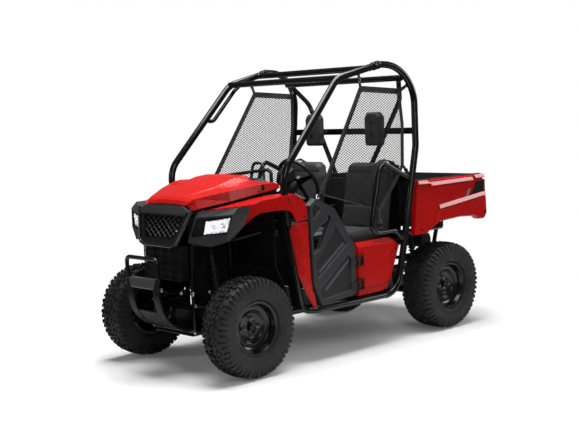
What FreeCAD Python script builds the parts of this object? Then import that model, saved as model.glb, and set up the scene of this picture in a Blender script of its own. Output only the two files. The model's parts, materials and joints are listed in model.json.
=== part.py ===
import FreeCAD, Part
import math
import os

import Sketcher
from FreeCAD import Vector

# A two-seat side by side utility vehicle. Millimetres, +Z up, the front looks along -Y and the
# driver sits on the +X side. The origin is on the ground, under the middle of the overall box.

doc = FreeCAD.newDocument("side_by_side")
sheet = doc.addObject("Spreadsheet::Sheet", "Sizes")

SIZES = {
    # stance: overhangs reach from each axle to the bumper and to the bed's rear ears
    "wheelbase": 1854, "front_overhang": 400, "rear_overhang": 446, "overall_width": 1270,
    # wheels
    "tyre_radius": 310, "front_tyre_width": 205, "rear_tyre_width": 250, "lug_height": 15,
    "lug_count": 14, "bead_radius": 152, "rim_wall": 6, "rim_lip": 16, "dish_depth": 66,
    "hub_radius": 34, "spindle_radius": 15, "running_gap": 0.05, "nut_radius": 22,
    "lug_nut_circle": 55, "lug_nut_radius": 10, "wheel_sides": 28,
    "coil_turns": 6,
    # steering
    "kingpin_inset": 82, "steering_arm": 108, "tie_rod_radius": 9, "joint_gap": 6,
    "wheel_ring_radius": 158, "wheel_ring_section": 14, "wheel_rake": 30,
    "wheel_x": 300, "wheel_y": 688, "wheel_z": 1142,
    # tubes
    "cage_tube": 23, "cross_tube": 21, "frame_tube": 20, "brace_tube": 16, "guard_tube": 16,
    "arm_tube": 12, "clamp_radius": 27, "sill_height": 338, "rail_z": 262, "bed_rail_z": 690,
    # how far each long piece stands in from the vehicle's side
    "sill_inset": 39, "rail_inset": 439, "bed_rail_inset": 335, "door_inset": 31,
    "fender_inset": 35, "bed_inset": 21, "seat_inset": 93, "floor_inset": 83,
    # front cage, y measured behind the front axle
    "pillar_foot_inset": 63, "pillar_foot_y": 288, "pillar_foot_z": 1212,
    "brow_inset": 99, "brow_y": 838, "brow_z": 1798,
    "joint_inset": 79, "joint_y": 1223, "joint_z": 1884,
    # rear cage
    "hoop_inset": 27, "hoop_y": 1524, "hoop_z": 1446, "hoop_low_y": 1372, "hoop_low_z": 700,
    "hoop_top_y": 1542, "rear_cross_y": 1430, "rear_cross_z": 1792, "low_cross_z": 1110,
    "bar_z": 1430, "bar_height": 44, "bar_thickness": 7,
    # floor, firewall and sills
    "floor_z": 362, "sheet_wall": 6, "toe_y": 390, "firewall_y": 250, "firewall_top": 1040,
    # dashboard and grab bar
    "dash_low": 926, "dash_top": 1112, "grab_y": 530,
    # door, y measured behind the front axle
    "door_front": 474, "door_rear": 888, "door_bottom": 372, "door_top": 1048, "door_thick": 40,
    "recess_depth": 9, "hinge_pin": 6, "hinge_low_z": 446, "hinge_high_z": 604,
    "hinge_length": 44, "panel_gap": 20, "panel_top": 722, "panel_bottom": 366, "bevel": 12,
    # seats
    "seat_inner": 96, "seat_front": 930, "seat_z": 690, "cushion_height": 96,
    "back_thick": 84, "back_top": 1240, "back_y": 1225, "back_lean": 100,
    "headrest_x": 308, "headrest_width": 190, "headrest_height": 238, "headrest_thick": 60,
    "headrest_z": 1330, "headrest_gap": 50,
    # nose: the grille leans, its foot ahead of its top
    "grille_y": 190, "grille_top": 1046, "grille_bottom": 812, "grille_slope": 0.322,
    "grille_half": 191, "grille_thick": 16, "mesh_pitch": 51, "mesh_bar": 7,
    "hood_wall": 7, "fender_wall": 6, "lens_depth": 30,
    "radiator_x": 190, "radiator_bottom": 588, "radiator_top": 804, "radiator_thick": 46,
    "guard_thick": 6, "bumper_tube": 13, "bumper_x": 155, "bumper_top": 742, "bumper_low": 600,
    # cargo bed, y measured from the rear axle
    "bed_front": 332, "bed_rear": 412, "bed_top": 1084, "bed_floor": 786,
    "bed_wall": 8, "bed_side": 46, "bed_step": 12, "bed_pivot_y": 262, "bed_pivot_z": 738,
    "bed_pin": 12, "gate_thick": 18, "gate_gap": 9,
    # power unit and drive
    "engine_x": 160, "engine_front": 520, "engine_rear": 160, "engine_low": 320, "engine_top": 670,
    "shaft_radius": 13, "case_x": 90, "case_half": 80, "exhaust_radius": 58,
    # hitch
    "receiver_inside": 51, "receiver_wall": 6, "receiver_z": 430, "hitch_pin_radius": 8,
}

for row, (name, value) in enumerate(SIZES.items(), start=1):
    cell = "A%d" % row
    sheet.set(cell, str(value))
    sheet.setAlias(cell, name)
doc.recompute()


class Dim:
    """A length kept both as a number and as an expression of the sheet's cells."""

    def __init__(self, value, text):
        self.value = value
        self.text = text

    def join(self, other, sign, value):
        return Dim(value, "(%s %s %s)" % (self.text, sign, other.text))

    def __add__(self, other):
        other = dim(other)
        return self.join(other, "+", self.value + other.value)

    def __sub__(self, other):
        other = dim(other)
        return self.join(other, "-", self.value - other.value)

    def __mul__(self, other):
        other = dim(other)
        return self.join(other, "*", self.value * other.value)

    def __truediv__(self, other):
        other = dim(other)
        return self.join(other, "/", self.value / other.value)

    def __radd__(self, other):
        return dim(other) + self

    def __rsub__(self, other):
        return dim(other) - self

    def __rmul__(self, other):
        return dim(other) * self

    def __neg__(self):
        return self * -1

    def __float__(self):
        return float(self.value)


def dim(value):
    """Return value as a Dim, a plain number standing for itself."""
    return value if isinstance(value, Dim) else Dim(float(value), repr(float(value)))


class Cells:
    """The sheet's cells by name, as Dims."""

    def __getattr__(self, name):
        return Dim(float(sheet.get(name)), "Sizes." + name)


z = Cells()

FRONT = -(z.wheelbase + z.front_overhang + z.rear_overhang) / 2
FRONT_AXLE = FRONT + z.front_overhang
REAR_AXLE = FRONT_AXLE + z.wheelbase
REAR = REAR_AXLE + z.rear_overhang
HALF_WIDTH = z.overall_width / 2
AXLE_Z = z.tyre_radius

kept = {}


def keep(node, thing):
    """Give an object its node's name and put it on the list of files to write."""
    thing.Label = node
    kept[node] = thing
    return thing


def point(x, y, height):
    return Vector(float(x), float(y), float(height))


def bind(thing, name, size):
    """Tie one property of an object to its expression."""
    thing.setExpression(name, size.text if isinstance(size, Dim) else repr(float(size)))


def place(thing, x, y, height, rotation=None):
    """Set an object's place from three sizes."""
    thing.Placement = FreeCAD.Placement(point(x, y, height), rotation or FreeCAD.Rotation())
    bind(thing, "Placement.Base.x", x)
    bind(thing, "Placement.Base.y", y)
    bind(thing, "Placement.Base.z", height)


def block(name, x0, x1, y0, y1, z0, z1):
    """A box between two corners."""
    thing = doc.addObject("Part::Box", name)
    bind(thing, "Length", dim(x1) - x0)
    bind(thing, "Width", dim(y1) - y0)
    bind(thing, "Height", dim(z1) - z0)
    place(thing, x0, y0, z0)
    return thing


TURN_TO = {
    "X": FreeCAD.Rotation(Vector(0, 1, 0), 90),
    "Y": FreeCAD.Rotation(Vector(1, 0, 0), -90),
    "Z": FreeCAD.Rotation(),
}


def rod(name, axis, radius, length, x, y, height):
    """A cylinder that starts at a place and runs along +X, +Y or +Z."""
    thing = doc.addObject("Part::Cylinder", name)
    bind(thing, "Radius", radius)
    bind(thing, "Height", length)
    place(thing, x, y, height, TURN_TO[axis])
    return thing


def fuse(name, things):
    """Things that belong to one node."""
    thing = doc.addObject("Part::MultiFuse", name)
    thing.Shapes = things
    return thing


def cut(name, base, tool):
    thing = doc.addObject("Part::Cut", name)
    thing.Base = base
    thing.Tool = tool
    return thing


def shaped(name, shape):
    """A form made with Part's own functions."""
    thing = doc.addObject("Part::Feature", name)
    thing.Shape = shape
    return thing


def plane_of(body, role):
    for feature in body.Origin.OriginFeatures:
        if feature.Role == role:
            return feature
    raise RuntimeError("no plane " + role)


def draw(sketch, outline):
    """Draw one closed outline whose every corner is bound to the sheet."""
    first = sketch.GeometryCount
    count = len(outline)
    for i, (a, b) in enumerate(outline):
        c, d = outline[(i + 1) % count]
        sketch.addGeometry(Part.LineSegment(point(a, b, 0), point(c, d, 0)))
    for i in range(count):
        sketch.addConstraint(Sketcher.Constraint(
            "Coincident", first + i, 2, first + (i + 1) % count, 1))
    for i, corner in enumerate(outline):
        for kind, size in zip(("DistanceX", "DistanceY"), corner):
            index = sketch.addConstraint(Sketcher.Constraint(kind, first + i, 1, float(size)))
            bind(sketch, "Constraints[%d]" % index, size)


NORMAL = {"YZ_Plane": 1, "XY_Plane": 1, "XZ_Plane": -1}


def pad(name, role, outlines, low, high):
    """A body padded from outlines in one of its origin planes, between two stations."""
    body = doc.addObject("PartDesign::Body", name)
    sketch = body.newObject("Sketcher::SketchObject", name + "_sketch")
    sketch.AttachmentSupport = (plane_of(body, role), [""])
    sketch.MapMode = "FlatFace"
    start = dim(low) if NORMAL[role] > 0 else -dim(high)
    bind(sketch, "AttachmentOffset.Base.z", start)
    for outline in outlines:
        draw(sketch, outline)
    feature = body.newObject("PartDesign::Pad", name + "_pad")
    feature.Profile = sketch
    bind(feature, "Length", dim(high) - low)
    body.Tip = feature
    return body


def pocket(body, name, role, outlines, low, high):
    """Cut outlines out of a body between two stations."""
    sketch = body.newObject("Sketcher::SketchObject", name + "_sketch")
    sketch.AttachmentSupport = (plane_of(body, role), [""])
    sketch.MapMode = "FlatFace"
    start = dim(low) if NORMAL[role] > 0 else -dim(high)
    bind(sketch, "AttachmentOffset.Base.z", start)
    for outline in outlines:
        draw(sketch, outline)
    feature = body.newObject("PartDesign::Pocket", name)
    feature.Profile = sketch
    feature.Reversed = True
    bind(feature, "Length", dim(high) - low)
    body.Tip = feature
    return feature


def turned(name, outline, x, y, height):
    """A body turned about an axis along X through a place; corners are (x, radius)."""
    body = doc.addObject("PartDesign::Body", name)
    sketch = body.newObject("Sketcher::SketchObject", name + "_sketch")
    sketch.AttachmentSupport = (plane_of(body, "XY_Plane"), [""])
    sketch.MapMode = "FlatFace"
    draw(sketch, outline)
    feature = body.newObject("PartDesign::Revolution", name + "_turn")
    feature.Profile = sketch
    feature.ReferenceAxis = (sketch, ["H_Axis"])
    feature.Angle = 360
    body.Tip = feature
    place(body, x, y, height)
    return body


def rectangle(a0, a1, b0, b1):
    return [(a0, b0), (a1, b0), (a1, b1), (a0, b1)]


def side_span(side, inner, outer):
    """Two stations along X on one side, lower first."""
    return (inner, outer) if side > 0 else (-dim(outer), -dim(inner))


RAIL_X = HALF_WIDTH - z.rail_inset
BED_RAIL_X = HALF_WIDTH - z.bed_rail_inset
SILL_X = HALF_WIDTH - z.sill_inset
HOOP_X = HALF_WIDTH - z.hoop_inset
FOOT_X = HALF_WIDTH - z.pillar_foot_inset
BROW_X = HALF_WIDTH - z.brow_inset
JOINT_X = HALF_WIDTH - z.joint_inset
DOOR_X = HALF_WIDTH - z.door_inset
FENDER_X = HALF_WIDTH - z.fender_inset
BED_X = HALF_WIDTH - z.bed_inset
SEAT_OUTER = HALF_WIDTH - z.seat_inset
FLOOR_X = HALF_WIDTH - z.floor_inset


def behind_front(distance):
    """A station behind the front axle."""
    return FRONT_AXLE + distance


def is_flat(a, b, c, d):
    normal = (b - a).cross(d - a)
    return normal.Length > 1e-9 and abs((c - a).dot(normal.normalize())) < 1e-5


def flat_face(corners):
    return Part.Face(Part.makePolygon(corners + corners[:1]))


def quad_faces(a, b, c, d):
    """One face through four corners, or two where they aren't in one plane."""
    if is_flat(a, b, c, d):
        return [flat_face([a, b, c, d])]
    return [flat_face([a, b, c]), flat_face([a, c, d])]


def end_faces(ring):
    """The faces that close an outline, in strips across it where it isn't in one plane."""
    normal = (ring[1] - ring[0]).cross(ring[-1] - ring[0]).normalize()
    if max(abs((corner - ring[0]).dot(normal)) for corner in ring) < 1e-5:
        return [flat_face(ring)]
    faces = []
    last = len(ring) - 1
    for i in range(len(ring) // 2 - 1):
        faces += quad_faces(ring[i], ring[i + 1], ring[last - i - 1], ring[last - i])
    if len(ring) % 2:
        middle = len(ring) // 2
        faces.append(flat_face(ring[middle - 1:middle + 2]))
    return faces


def skinned(rings, closed=False):
    """A solid with flat faces through outlines of the same number of corners."""
    pairs = list(zip(rings, rings[1:]))
    if closed:
        pairs.append((rings[-1], rings[0]))
        faces = []
    else:
        faces = end_faces(rings[0]) + end_faces(rings[-1])
    for low, high in pairs:
        for i in range(len(low)):
            j = (i + 1) % len(low)
            faces += quad_faces(low[i], low[j], high[j], high[i])
    shell = Part.makeShell(faces)
    shell.sewShape()
    solid = Part.makeSolid(shell)
    if solid.Volume < 0:
        solid.reverse()
    return solid


BEND_STEP = math.radians(24)
END_SHARE = 0.9
MIDDLE_SHARE = 0.48


def bent_path(points, bend):
    """The corners of a line whose bends are made of short straight runs round an arc."""
    path = [points[0]]
    last = len(points) - 1
    for index in range(1, last):
        before, corner, after = points[index - 1:index + 2]
        into = (corner - before).normalize()
        out = (after - corner).normalize()
        half = into.getAngle(out) / 2
        if half < 0.01:
            path.append(corner)
            continue
        first_share = END_SHARE if index == 1 else MIDDLE_SHARE
        last_share = END_SHARE if index == last - 1 else MIDDLE_SHARE
        room = min(before.distanceToPoint(corner) * first_share, corner.distanceToPoint(after) * last_share)
        arc = min(float(bend), room / math.tan(half))
        centre = corner + (out - into).normalize() * (arc / math.cos(half))
        spoke = (corner - into * (arc * math.tan(half)) - centre).normalize()
        steps = max(1, round(2 * half / BEND_STEP))
        reach = arc / math.cos(half / steps)
        for step in range(steps):
            angle = 2 * half * (step + 0.5) / steps
            path.append(centre + (spoke * math.cos(angle) + into * math.sin(angle)) * reach)
    return path + [points[-1]]


def tube(points, radius, bend=1, sides=8):
    """A tube with flat sides, which keep its triangles few, along straight runs and bends."""
    path = bent_path(points, bend)
    ways = [(b - a).normalize() for a, b in zip(path, path[1:])]
    level = ways[0].cross(Vector(0, 0, 1))
    if level.Length < 0.1:
        level = Vector(1, 0, 0)
    level.normalize()
    upward = level.cross(ways[0])
    ring = []
    for index in range(sides):
        angle = 2 * math.pi * (index + 0.5) / sides
        ring.append(path[0] + (level * math.cos(angle) + upward * math.sin(angle)) * float(radius))
    rings = [ring]
    for index in range(1, len(path)):
        way = ways[index - 1]
        normal = way if index == len(path) - 1 else (way + ways[index]).normalize()
        ring = [p + way * ((path[index] - p).dot(normal) / way.dot(normal)) for p in ring]
        rings.append(ring)
    return skinned(rings)


def stepped_body(start, end, profile, sides=8):
    """A body along a line whose radius changes; its profile is (share of the line, radius)."""
    way = (end - start).normalize()
    level = way.cross(Vector(0, 1, 0)).normalize()
    upward = level.cross(way)
    rings = []
    for share, radius in profile:
        centre = start + (end - start) * share
        rings.append([centre + (level * math.cos(2 * math.pi * (i + 0.5) / sides)
                                + upward * math.sin(2 * math.pi * (i + 0.5) / sides)) * radius
                      for i in range(sides)])
    return skinned(rings)


def ring_body(outline, sides):
    """A ring about the X axis with flat sides; corners of its section are (x, radius)."""
    rings = []
    count = int(float(sides))
    for index in range(count):
        angle = 2 * math.pi * index / count
        rings.append([Vector(float(x), float(r) * math.cos(angle), float(r) * math.sin(angle))
                      for x, r in outline])
    return skinned(rings, closed=True)


def mirrored(shape):
    return shape.mirror(Vector(0, 0, 0), Vector(1, 0, 0))


def both(shape):
    """A shape and its mirror image on the other side."""
    return [shape, mirrored(shape)]


def joined(shapes):
    return shapes[0].multiFuse(shapes[1:]).removeSplitter()


def across(x, y, height, radius):
    """A straight cross tube between two mirrored places."""
    return tube([point(-x, y, height), point(x, y, height)], radius)


def band(points, wall):
    """The face of a bent sheet in the YZ plane: a polyline given a thickness on its left."""
    flat = [Vector(0, float(a), float(b)) for a, b in points]
    offset = []
    for i, corner in enumerate(flat):
        sides = []
        if i > 0:
            sides.append((corner - flat[i - 1]).normalize())
        if i < len(flat) - 1:
            sides.append((flat[i + 1] - corner).normalize())
        normals = [Vector(0, -s.z, s.y) for s in sides]
        mean = normals[0] if len(normals) == 1 else (normals[0] + normals[1]).normalize()
        offset.append(corner + mean * (float(wall) / mean.dot(normals[0])))
    return Part.Face(Part.makePolygon(flat + offset[::-1] + [flat[0]]))


def extruded(face, x0, x1):
    """A face of the YZ plane made solid between two stations along X."""
    solid = face.extrude(Vector(float(x1) - float(x0), 0, 0))
    solid.translate(Vector(float(x0), 0, 0))
    return solid


def inset(outline, distance):
    """A closed outline moved inwards by a distance along every edge."""
    corners = [Vector(float(a), float(b), 0) for a, b in outline]
    area = sum(p.x * q.y - q.x * p.y for p, q in zip(corners, corners[1:] + corners[:1]))
    turn = 1 if area > 0 else -1
    moved = []
    for before, corner, after in zip(corners[-1:] + corners, corners, corners[1:] + corners[:1]):
        into = (corner - before).normalize()
        out = (after - corner).normalize()
        first = Vector(-into.y, into.x, 0) * turn
        second = Vector(-out.y, out.x, 0) * turn
        mean = (first + second).normalize()
        moved.append(corner + mean * (float(distance) / mean.dot(first)))
    return [(p.x, p.y) for p in moved]


def side_plate(outline, inner_x, outer_x, bevel):
    """A plate drawn in the YZ plane whose outer face is smaller than its inner one all round."""
    low = [point(inner_x, a, b) for a, b in outline]
    high = [point(outer_x, a, b) for a, b in inset(outline, bevel)]
    return skinned([low, high])


RIM_SHARE = 0.37
SHOULDER_DROP = 22
LUG_LENGTH = 13.5
LUG_SLANT = 14

# Wheels: a tyre with blocks round its shoulders, on a dished steel rim

def tyre(node, side, y, width):
    """A tyre whose outer face stands at the vehicle's full width."""
    centre = side * (HALF_WIDTH - width / 2)
    half = width / 2
    tread = z.tyre_radius - z.lug_height
    bead_x = half * RIM_SHARE * 2 - z.rim_wall
    outline = [
        (-bead_x, z.bead_radius), (bead_x, z.bead_radius), (bead_x, z.bead_radius + z.rim_lip),
        (half, tread * 0.76), (half * 0.92, tread * 0.94), (half * 0.62, tread),
        (-half * 0.62, tread), (-half * 0.92, tread * 0.94), (-half, tread * 0.76),
        (-bead_x, z.bead_radius + z.rim_lip),
    ]
    carcass = ring_body(outline, z.wheel_sides)
    shape = joined([carcass] + lugs(half))
    shape.translate(point(centre, y, AXLE_Z))
    return keep(node, shaped(node, shape))


def lugs(half):
    """Slanted blocks round the tread, staggered from one shoulder to the other."""
    top_z = float(z.tyre_radius)
    sunk = top_z - 2.2 * float(z.lug_height)
    count = int(float(z.lug_count))
    inner, outer = 0.08 * float(half), 0.97 * float(half)
    pieces = []
    for index in range(2 * count):
        hand = 1 if index % 2 else -1
        corners = [
            Vector(hand * inner, -LUG_LENGTH - LUG_SLANT, 0), Vector(hand * inner, LUG_LENGTH - LUG_SLANT, 0),
            Vector(hand * outer, LUG_LENGTH, 0), Vector(hand * outer, -LUG_LENGTH, 0),
        ]
        low = [c + Vector(0, 0, sunk) for c in corners]
        high = []
        for c in corners:
            drop = SHOULDER_DROP if abs(c.x) > inner + 1 else 0
            high.append(c + Vector(0, 0, top_z - drop))
        lug = skinned([low, high])
        lug.rotate(Vector(0, 0, 0), Vector(1, 0, 0), 180.0 * index / count)
        pieces.append(lug)
    return pieces



def rim(node, side, y, width):
    """A dished rim with its hub bore, seen from outside as a deep bowl with four wheel nuts."""
    centre = side * (HALF_WIDTH - width / 2)
    half = width * RIM_SHARE
    bead = z.bead_radius
    lip = bead + z.rim_lip
    face = half - z.dish_depth
    outline = [
        (-half, lip), (-half + z.rim_wall, bead), (half - z.rim_wall, bead), (half, lip), (half, bead - 2),
        (half - 18, bead - 11), (face + 24, bead - 17), (face + 12, 106), (face + 16, 98),
        (face + z.rim_wall, 82), (face + z.rim_wall, z.hub_radius - 2), (face, z.hub_radius - 2),
        (face, 92), (face + 14, bead - 23), (-half, bead - z.rim_wall),
    ]
    if side < 0:
        outline = [(-x, r) for x, r in reversed(outline)]
    pieces = [ring_body(outline, z.wheel_sides)]
    inner, outer = side_span(side, face - 40, face + z.rim_wall)
    pieces.append(tube([point(inner, 0, 0), point(outer, 0, 0)], z.hub_radius, 1, 12))
    seat = side * float(face + z.rim_wall)
    for index in range(4):
        angle = math.pi / 2 * index
        place_y = float(z.lug_nut_circle) * math.cos(angle)
        place_z = float(z.lug_nut_circle) * math.sin(angle)
        pieces.append(tube([Vector(seat - side * 4, place_y, place_z), Vector(seat + side * 14, place_y, place_z)],
                           z.lug_nut_radius, 1, 6))
    bore = Part.makeCylinder(float(z.spindle_radius + z.running_gap), 400, Vector(-200, 0, 0), Vector(1, 0, 0))
    shape = joined(pieces).cut(bore)
    shape.translate(point(centre, y, AXLE_Z))
    return keep(node, shaped(node, shape))


def spindle(side, y, width, inner_x):
    """The shaft that a wheel turns on, from the upright out to the nut over the rim's face."""
    centre = side * float(HALF_WIDTH - width / 2)
    face = side * float(width * RIM_SHARE - z.dish_depth + z.rim_wall)
    start = point(side * float(inner_x), y, AXLE_Z)
    end = point(centre + face + side * 12, y, AXLE_Z)
    shaft = Part.makeCylinder(float(z.spindle_radius), (end - start).Length, start, end - start)
    nut_start = point(centre + face + side * 0.5, y, AXLE_Z)
    nut = tube([nut_start, nut_start + Vector(side * 16, 0, 0)], z.nut_radius, 1, 6)
    return shaft.fuse(nut)


WHEELS = (
    ("front_left", 1, FRONT_AXLE, z.front_tyre_width), ("front_right", -1, FRONT_AXLE, z.front_tyre_width),
    ("rear_left", 1, REAR_AXLE, z.rear_tyre_width), ("rear_right", -1, REAR_AXLE, z.rear_tyre_width),
)
for place_name, side, axle_y, tyre_width in WHEELS:
    tyre("tyre_" + place_name, side, axle_y, tyre_width)
    rim("rim_" + place_name, side, axle_y, tyre_width)

# Uprights: a post between two ball joints with its spindle, and in front a steering arm

KINGPIN_X = HALF_WIDTH - z.front_tyre_width / 2 - z.kingpin_inset
UPRIGHT_X = HALF_WIDTH - z.rear_tyre_width / 2 - 74
ARM_Y = FRONT_AXLE + z.steering_arm
ARM_Z = AXLE_Z + 56
BALL_LOW = AXLE_Z - 88
BALL_HIGH = AXLE_Z + 88
POST_GAP = 26
STUD_GAP = 15


def upright(side, x, y, half_x, width):
    """A post between the ball joints with the wheel's spindle."""
    low = float(BALL_LOW)
    high = float(BALL_HIGH)
    x = side * float(x)
    post = Part.makeBox(2 * half_x, 46, high - low - 2 * POST_GAP, point(x - half_x, y - 23, low + POST_GAP))
    stud = Part.makeCylinder(8, float(high - low - 2 * STUD_GAP), point(x, y, low + STUD_GAP))
    return [post, stud, spindle(side, y, width, abs(x))]


for side, hand in ((1, "left"), (-1, "right")):
    arm_inner, arm_outer = side_span(side, KINGPIN_X - 34, KINGPIN_X - 4)
    arm = Part.makeBox(float(arm_outer - arm_inner), float(ARM_Y - FRONT_AXLE) + 4, 16,
                       point(arm_inner, FRONT_AXLE + 10, ARM_Z))
    pieces = upright(side, KINGPIN_X, FRONT_AXLE, 16, z.front_tyre_width) + [arm]
    keep("knuckle_" + hand, shaped("knuckle_" + hand, joined(pieces)))
    pieces = upright(side, UPRIGHT_X, REAR_AXLE, 14, z.rear_tyre_width)
    keep("rear_upright_" + hand, shaped("rear_upright_" + hand, joined(pieces)))

# Rack with its tie rods: slides across, its ends just under the steering arms

ROD_Z = ARM_Z - z.joint_gap - z.tie_rod_radius
RACK_END = KINGPIN_X - 18
keep("tie_rods", rod("tie_rods", "X", z.tie_rod_radius, RACK_END * 2, -RACK_END, ARM_Y, ROD_Z))


# Frame: a ladder of tubes low down, a box for the nose and one that carries the bed

SILL_REAR = behind_front(z.hoop_low_y) - 200
NOSE_Y = FRONT_AXLE - 150
BOX_REAR = FRONT_AXLE + 160
TOP_Z = 798
UPPER_Z = AXLE_Z + 118
BED_POST_FRONT = REAR_AXLE - z.bed_front + 10
BED_POST_REAR = REAR_AXLE + z.bed_pivot_y - 26
LEG_X = SILL_X - 51
LEG_Y = behind_front(346)
LEG_TOP_Z = 902


def rail_tubes():
    """The low ladder: two long rails and the cross tubes between them."""
    tubes = both(tube([point(RAIL_X, NOSE_Y, z.rail_z), point(RAIL_X, BED_POST_REAR, z.rail_z)], z.frame_tube))
    for y in (NOSE_Y, BOX_REAR, behind_front(930), BED_POST_FRONT, BED_POST_REAR):
        tubes.append(across(RAIL_X, y, z.rail_z, z.brace_tube - 1))
    return tubes


def nose_tubes():
    """The box over the front axle, with legs that run back to the pillars' feet."""
    brace = z.brace_tube
    one_side = [
        tube([point(RAIL_X, NOSE_Y, z.rail_z), point(RAIL_X, NOSE_Y, TOP_Z)], brace),
        tube([point(RAIL_X, NOSE_Y, TOP_Z), point(RAIL_X, BOX_REAR, TOP_Z),
              point(LEG_X, LEG_Y, LEG_TOP_Z)], z.frame_tube - 2, 90),
        tube([point(RAIL_X, NOSE_Y, UPPER_Z), point(RAIL_X, BOX_REAR, UPPER_Z)], brace - 1),
        tube([point(RAIL_X, BOX_REAR, z.rail_z), point(RAIL_X, BOX_REAR, TOP_Z)], brace),
    ]
    tubes = [piece for one in one_side for piece in both(one)]
    for x, y, height in ((RAIL_X, NOSE_Y, TOP_Z), (RAIL_X, BOX_REAR, TOP_Z), (LEG_X, LEG_Y, LEG_TOP_Z)):
        tubes.append(across(x, y, height, brace - 1))
    return tubes


def sill_tubes():
    """The door posts that bend into the sills, and the outriggers that carry them."""
    sill = tube([point(LEG_X, LEG_Y, LEG_TOP_Z), point(LEG_X, behind_front(440), z.sill_height),
                 point(SILL_X, behind_front(520), z.sill_height),
                 point(SILL_X, SILL_REAR, z.sill_height)], z.frame_tube, 70)
    one_side = [sill]
    for y in (behind_front(540), behind_front(930), SILL_REAR - 20):
        one_side.append(tube([point(RAIL_X, y, z.rail_z), point(RAIL_X + 90, y, z.sill_height),
                              point(SILL_X, y, z.sill_height)], z.brace_tube - 2, 60))
    return [piece for one in one_side for piece in both(one)]


def bed_tubes():
    """Posts and rails over the rear axle that carry the tipping bed."""
    brace = z.brace_tube
    mid_y = REAR_AXLE - 170
    one_side = [
        tube([point(RAIL_X, BED_POST_FRONT, z.rail_z), point(BED_RAIL_X, BED_POST_FRONT, z.bed_rail_z)], brace),
        tube([point(RAIL_X, BED_POST_REAR, z.rail_z), point(BED_RAIL_X, BED_POST_REAR, z.bed_rail_z)], brace),
        tube([point(BED_RAIL_X, BED_POST_FRONT - 60, z.bed_rail_z),
              point(BED_RAIL_X, REAR_AXLE + z.bed_pivot_y + 26, z.bed_rail_z)], z.frame_tube),
        tube([point(RAIL_X, mid_y, UPPER_Z), point(RAIL_X, BED_POST_REAR, UPPER_Z)], brace - 1),
        tube([point(RAIL_X, mid_y, z.rail_z), point(RAIL_X, mid_y, UPPER_Z)], brace),
    ]
    tubes = [piece for one in one_side for piece in both(one)]
    for x, y, height in ((BED_RAIL_X, BED_POST_FRONT, z.bed_rail_z), (BED_RAIL_X, BED_POST_REAR, z.bed_rail_z),
                         (RAIL_X + 40, BED_POST_REAR, z.receiver_z)):
        tubes.append(across(x, y, height, brace - 1))
    return tubes


def bed_pivots():
    """Cheeks and pins on the bed rails that the bed tips about."""
    y = REAR_AXLE + z.bed_pivot_y
    pieces = []
    for side in (1, -1):
        for inner in (-28, 14):
            x0 = side * BED_RAIL_X + (inner if side > 0 else -inner - 14)
            cheek = tube([point(x0, y, z.bed_pivot_z), point(x0 + 14, y, z.bed_pivot_z)], 24, 1, 12)
            foot = Part.makeBox(14, 40, float(z.bed_pivot_z) - float(z.bed_rail_z),
                                point(x0, y - 20, z.bed_rail_z))
            pieces.append(cheek.fuse(foot))
        pin = Part.makeCylinder(float(z.bed_pin), 56, point(side * BED_RAIL_X - 28, y, z.bed_pivot_z),
                                Vector(1, 0, 0))
        pieces.append(pin)
    return pieces


RAILS = joined(rail_tubes())
NOSE_FRAME = joined(nose_tubes()).cut(RAILS)
SILLS = joined(sill_tubes()).cut([RAILS, NOSE_FRAME])
BED_FRAME = joined(bed_tubes() + bed_pivots()).cut(RAILS)
FRAME = Part.makeCompound([RAILS, NOSE_FRAME, SILLS, BED_FRAME])
keep("frame_rails", shaped("frame_rails", RAILS))
keep("nose_frame", shaped("nose_frame", NOSE_FRAME))
keep("sill_frame", shaped("sill_frame", SILLS))
keep("bed_frame", shaped("bed_frame", BED_FRAME))


# Roll cage: a rear part with two hoops and a front part with pillars and roof rails

HOOP_Y = behind_front(z.hoop_y)
LOW_Y = behind_front(z.hoop_low_y)
JOINT_Y = behind_front(z.joint_y)
REAR_CROSS_Y = behind_front(z.rear_cross_y)
REST_GAP = z.headrest_gap
CAGE_SIDES = 12
JOINT = point(JOINT_X, JOINT_Y, z.joint_z)
BROW = point(BROW_X, behind_front(z.brow_y), z.brow_z)


def hoop_at(height):
    """Where the hoop's upright stands at a height."""
    share = (float(height) - float(z.hoop_low_z)) / (float(z.hoop_z) - float(z.hoop_low_z))
    return float(LOW_Y) + share * (float(HOOP_Y) - float(LOW_Y))


def clamp():
    """The bolted sleeve that joins the roof rail to the hoop, with its flanges."""
    way = (JOINT - BROW).normalize()
    sleeve = tube([JOINT - way * 64, JOINT - way * 4], z.clamp_radius, 1, 8)
    pieces = [sleeve]
    for along_way in (-58, -24):
        flange = tube([JOINT + way * along_way, JOINT + way * (along_way + 14)], z.clamp_radius + 4, 1, 8)
        pieces.append(flange)
    return joined(pieces)


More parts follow.
